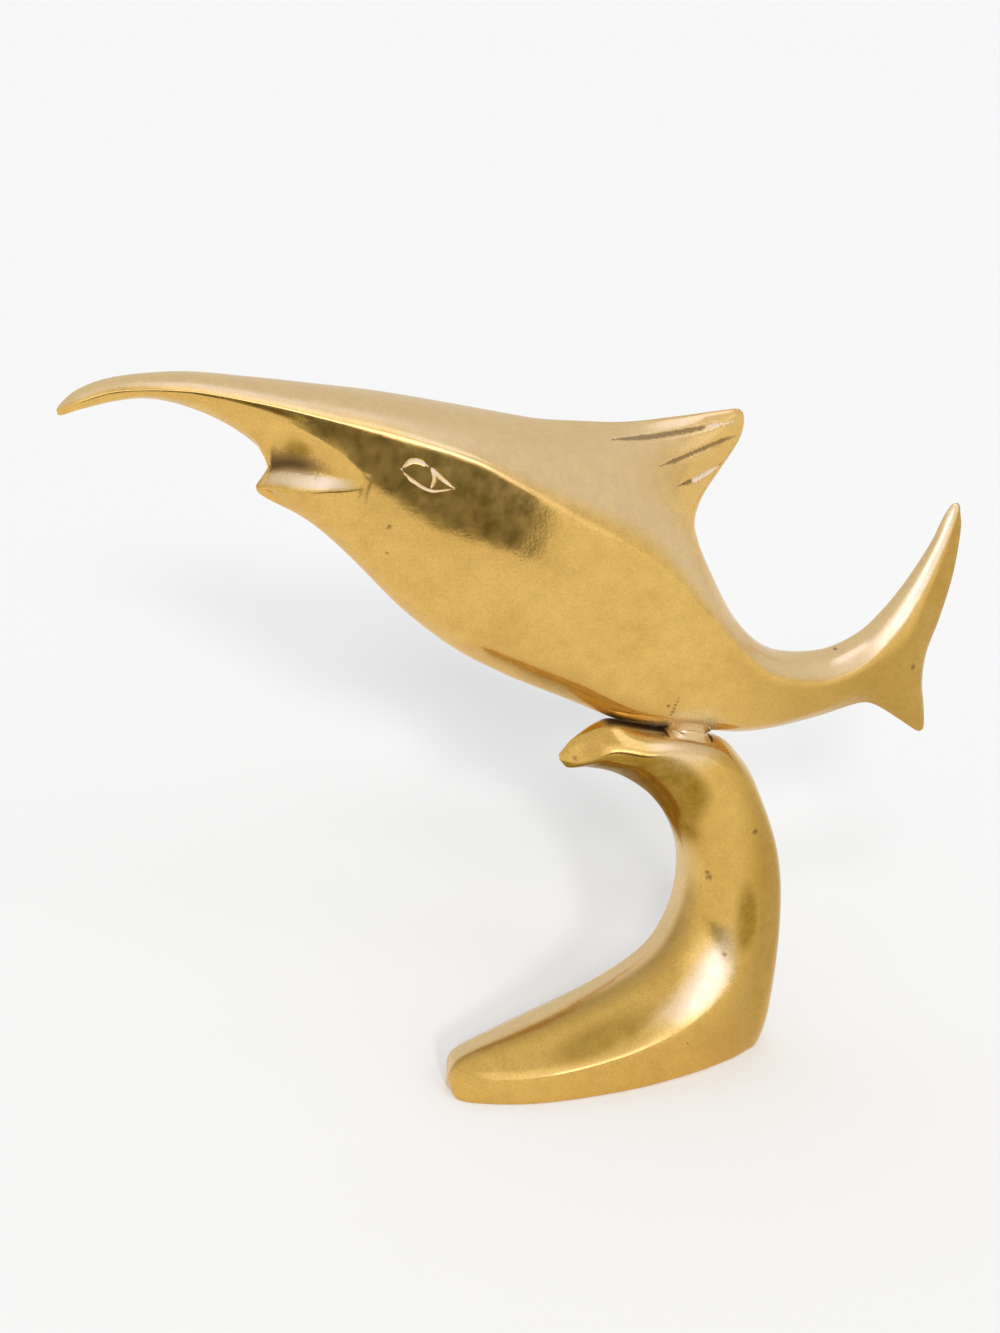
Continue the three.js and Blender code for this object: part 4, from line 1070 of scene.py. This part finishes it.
half = FLOOR_SIZE / 2
floor = flat_sheet("floor", [(-half, -half), (half, -half), (half, half), (-half, half)], 0,
                   plain("white_paper", "#F4F4F3", DULL))
table = flat_sheet("dark_table", TABLE_EDGE, TABLE_HEIGHT,
                   plain("dark_table_top", "#505238", DULL))
table.visible_camera = False
table.visible_diffuse = False
table.visible_shadow = False
print("floor, m:", FLOOR_SIZE)

# %% [markdown]
# ## Light
# A wide window and white walls light the object. The room is a function of direction alone: an
# even pale light, a little weaker on the floor than in reflections, and windows that are full
# inside a rectangle of directions and fall off over a border. They draw the bright lines along the
# ridges, and only what reflections see of them is tinted by daylight. The camera sees a plain
# near-white room. Three broad suns, which reflections don't see, give the floor its soft shadow.

# %% Light
ROOM = "#E9E9EA"
SEEN_ROOM = "#FBFBFB"
DAYLIGHT = "#C0CCFF"
FLOOR_SHARE = 0.84
TINTED_FROM, TINTED_TO = 1.0, 2.8
# azimuth, elevation, angle across and strength
SUNS = [(-9, 22, 5, 0.9), (-22, 27, 8, 0.85), (-24, 42, 10, 0.3)]
# azimuth and elevation of the middle, half width and half height, soft border, strength
WINDOWS = [
    (5, 3, 8, 4.5, 8, 2.9), (-3, 10, 12, 6, 14, 0.9), (21, 36, 7, 10, 7, 1.7), (27, 3, 6, 4, 7, 0.6),
]


def window_mask(tree, direction, azimuth, elevation, half_width, half_height, border, strength):
    """Strength inside a rectangle of directions, falling to nothing over the border."""
    turn = math.radians(azimuth)
    right = Vector((math.cos(turn), math.sin(turn), 0))
    ahead = on_circle(Vector((0, 0, 0)), turn, math.radians(elevation), 1)
    forwards = add(tree, "VectorMath", (direction, ahead), 1, operation="DOT_PRODUCT")
    mask = add(tree, "Math", (forwards, 0.0), operation="GREATER_THAN")
    for axis, half in ((right, half_width), (right.cross(-ahead), half_height)):
        off = add(tree, "VectorMath", (direction, axis), 1, operation="DOT_PRODUCT")
        off = add(tree, "Math", (off,), operation="ABSOLUTE")
        outer, inner = math.sin(math.radians(half + border)), math.sin(math.radians(half))
        inside = add(tree, "MapRange", (off, outer, inner), interpolation_type="SMOOTHSTEP")
        mask = add(tree, "Math", (mask, inside), operation="MULTIPLY")
    return add(tree, "Math", (mask, strength), operation="MULTIPLY")


world = bpy.data.worlds.new("room")
bpy.context.scene.world = world
world.use_nodes = True
tree = world.node_tree
tree.nodes.clear()
direction = add(tree, "TexCoord", out="Generated")
reflected = add(tree, "LightPath", out="Is Glossy Ray")
seen = add(tree, "LightPath", out="Is Camera Ray")
radiance = add(tree, "MapRange", (reflected, 0, 1, FLOOR_SHARE, 1))
for window in WINDOWS:
    radiance = add(tree, "Math", (radiance, window_mask(tree, direction, *window)))
pane = add(tree, "MapRange", (radiance, TINTED_FROM, TINTED_TO, 0, reflected))
tint = add(tree, "Mix", {0: pane, 6: linear(ROOM), 7: linear(DAYLIGHT)}, 2, data_type="RGBA")
tint = add(tree, "Mix", {0: seen, 6: tint, 7: linear(SEEN_ROOM)}, 2, data_type="RGBA")
strength = add(tree, "MapRange", (seen, 0, 1, radiance, 1))
add(tree, "OutputWorld", (add(tree, "Background", (tint, strength)),))

for azimuth, elevation, across, strength in SUNS:
    sun = placed("daylight", bpy.data.lights.new("daylight", "SUN"))
    sun.data.energy = strength
    sun.data.angle = math.radians(across)
    towards = on_circle(Vector((0, 0, 0)), math.radians(azimuth), math.radians(elevation), 1)
    sun.rotation_euler = towards.to_track_quat("Z", "Y").to_euler()
    sun.visible_glossy = False

bpy.context.scene.view_settings.view_transform = "Standard"
print("windows:", len(WINDOWS), "and suns:", len(SUNS))
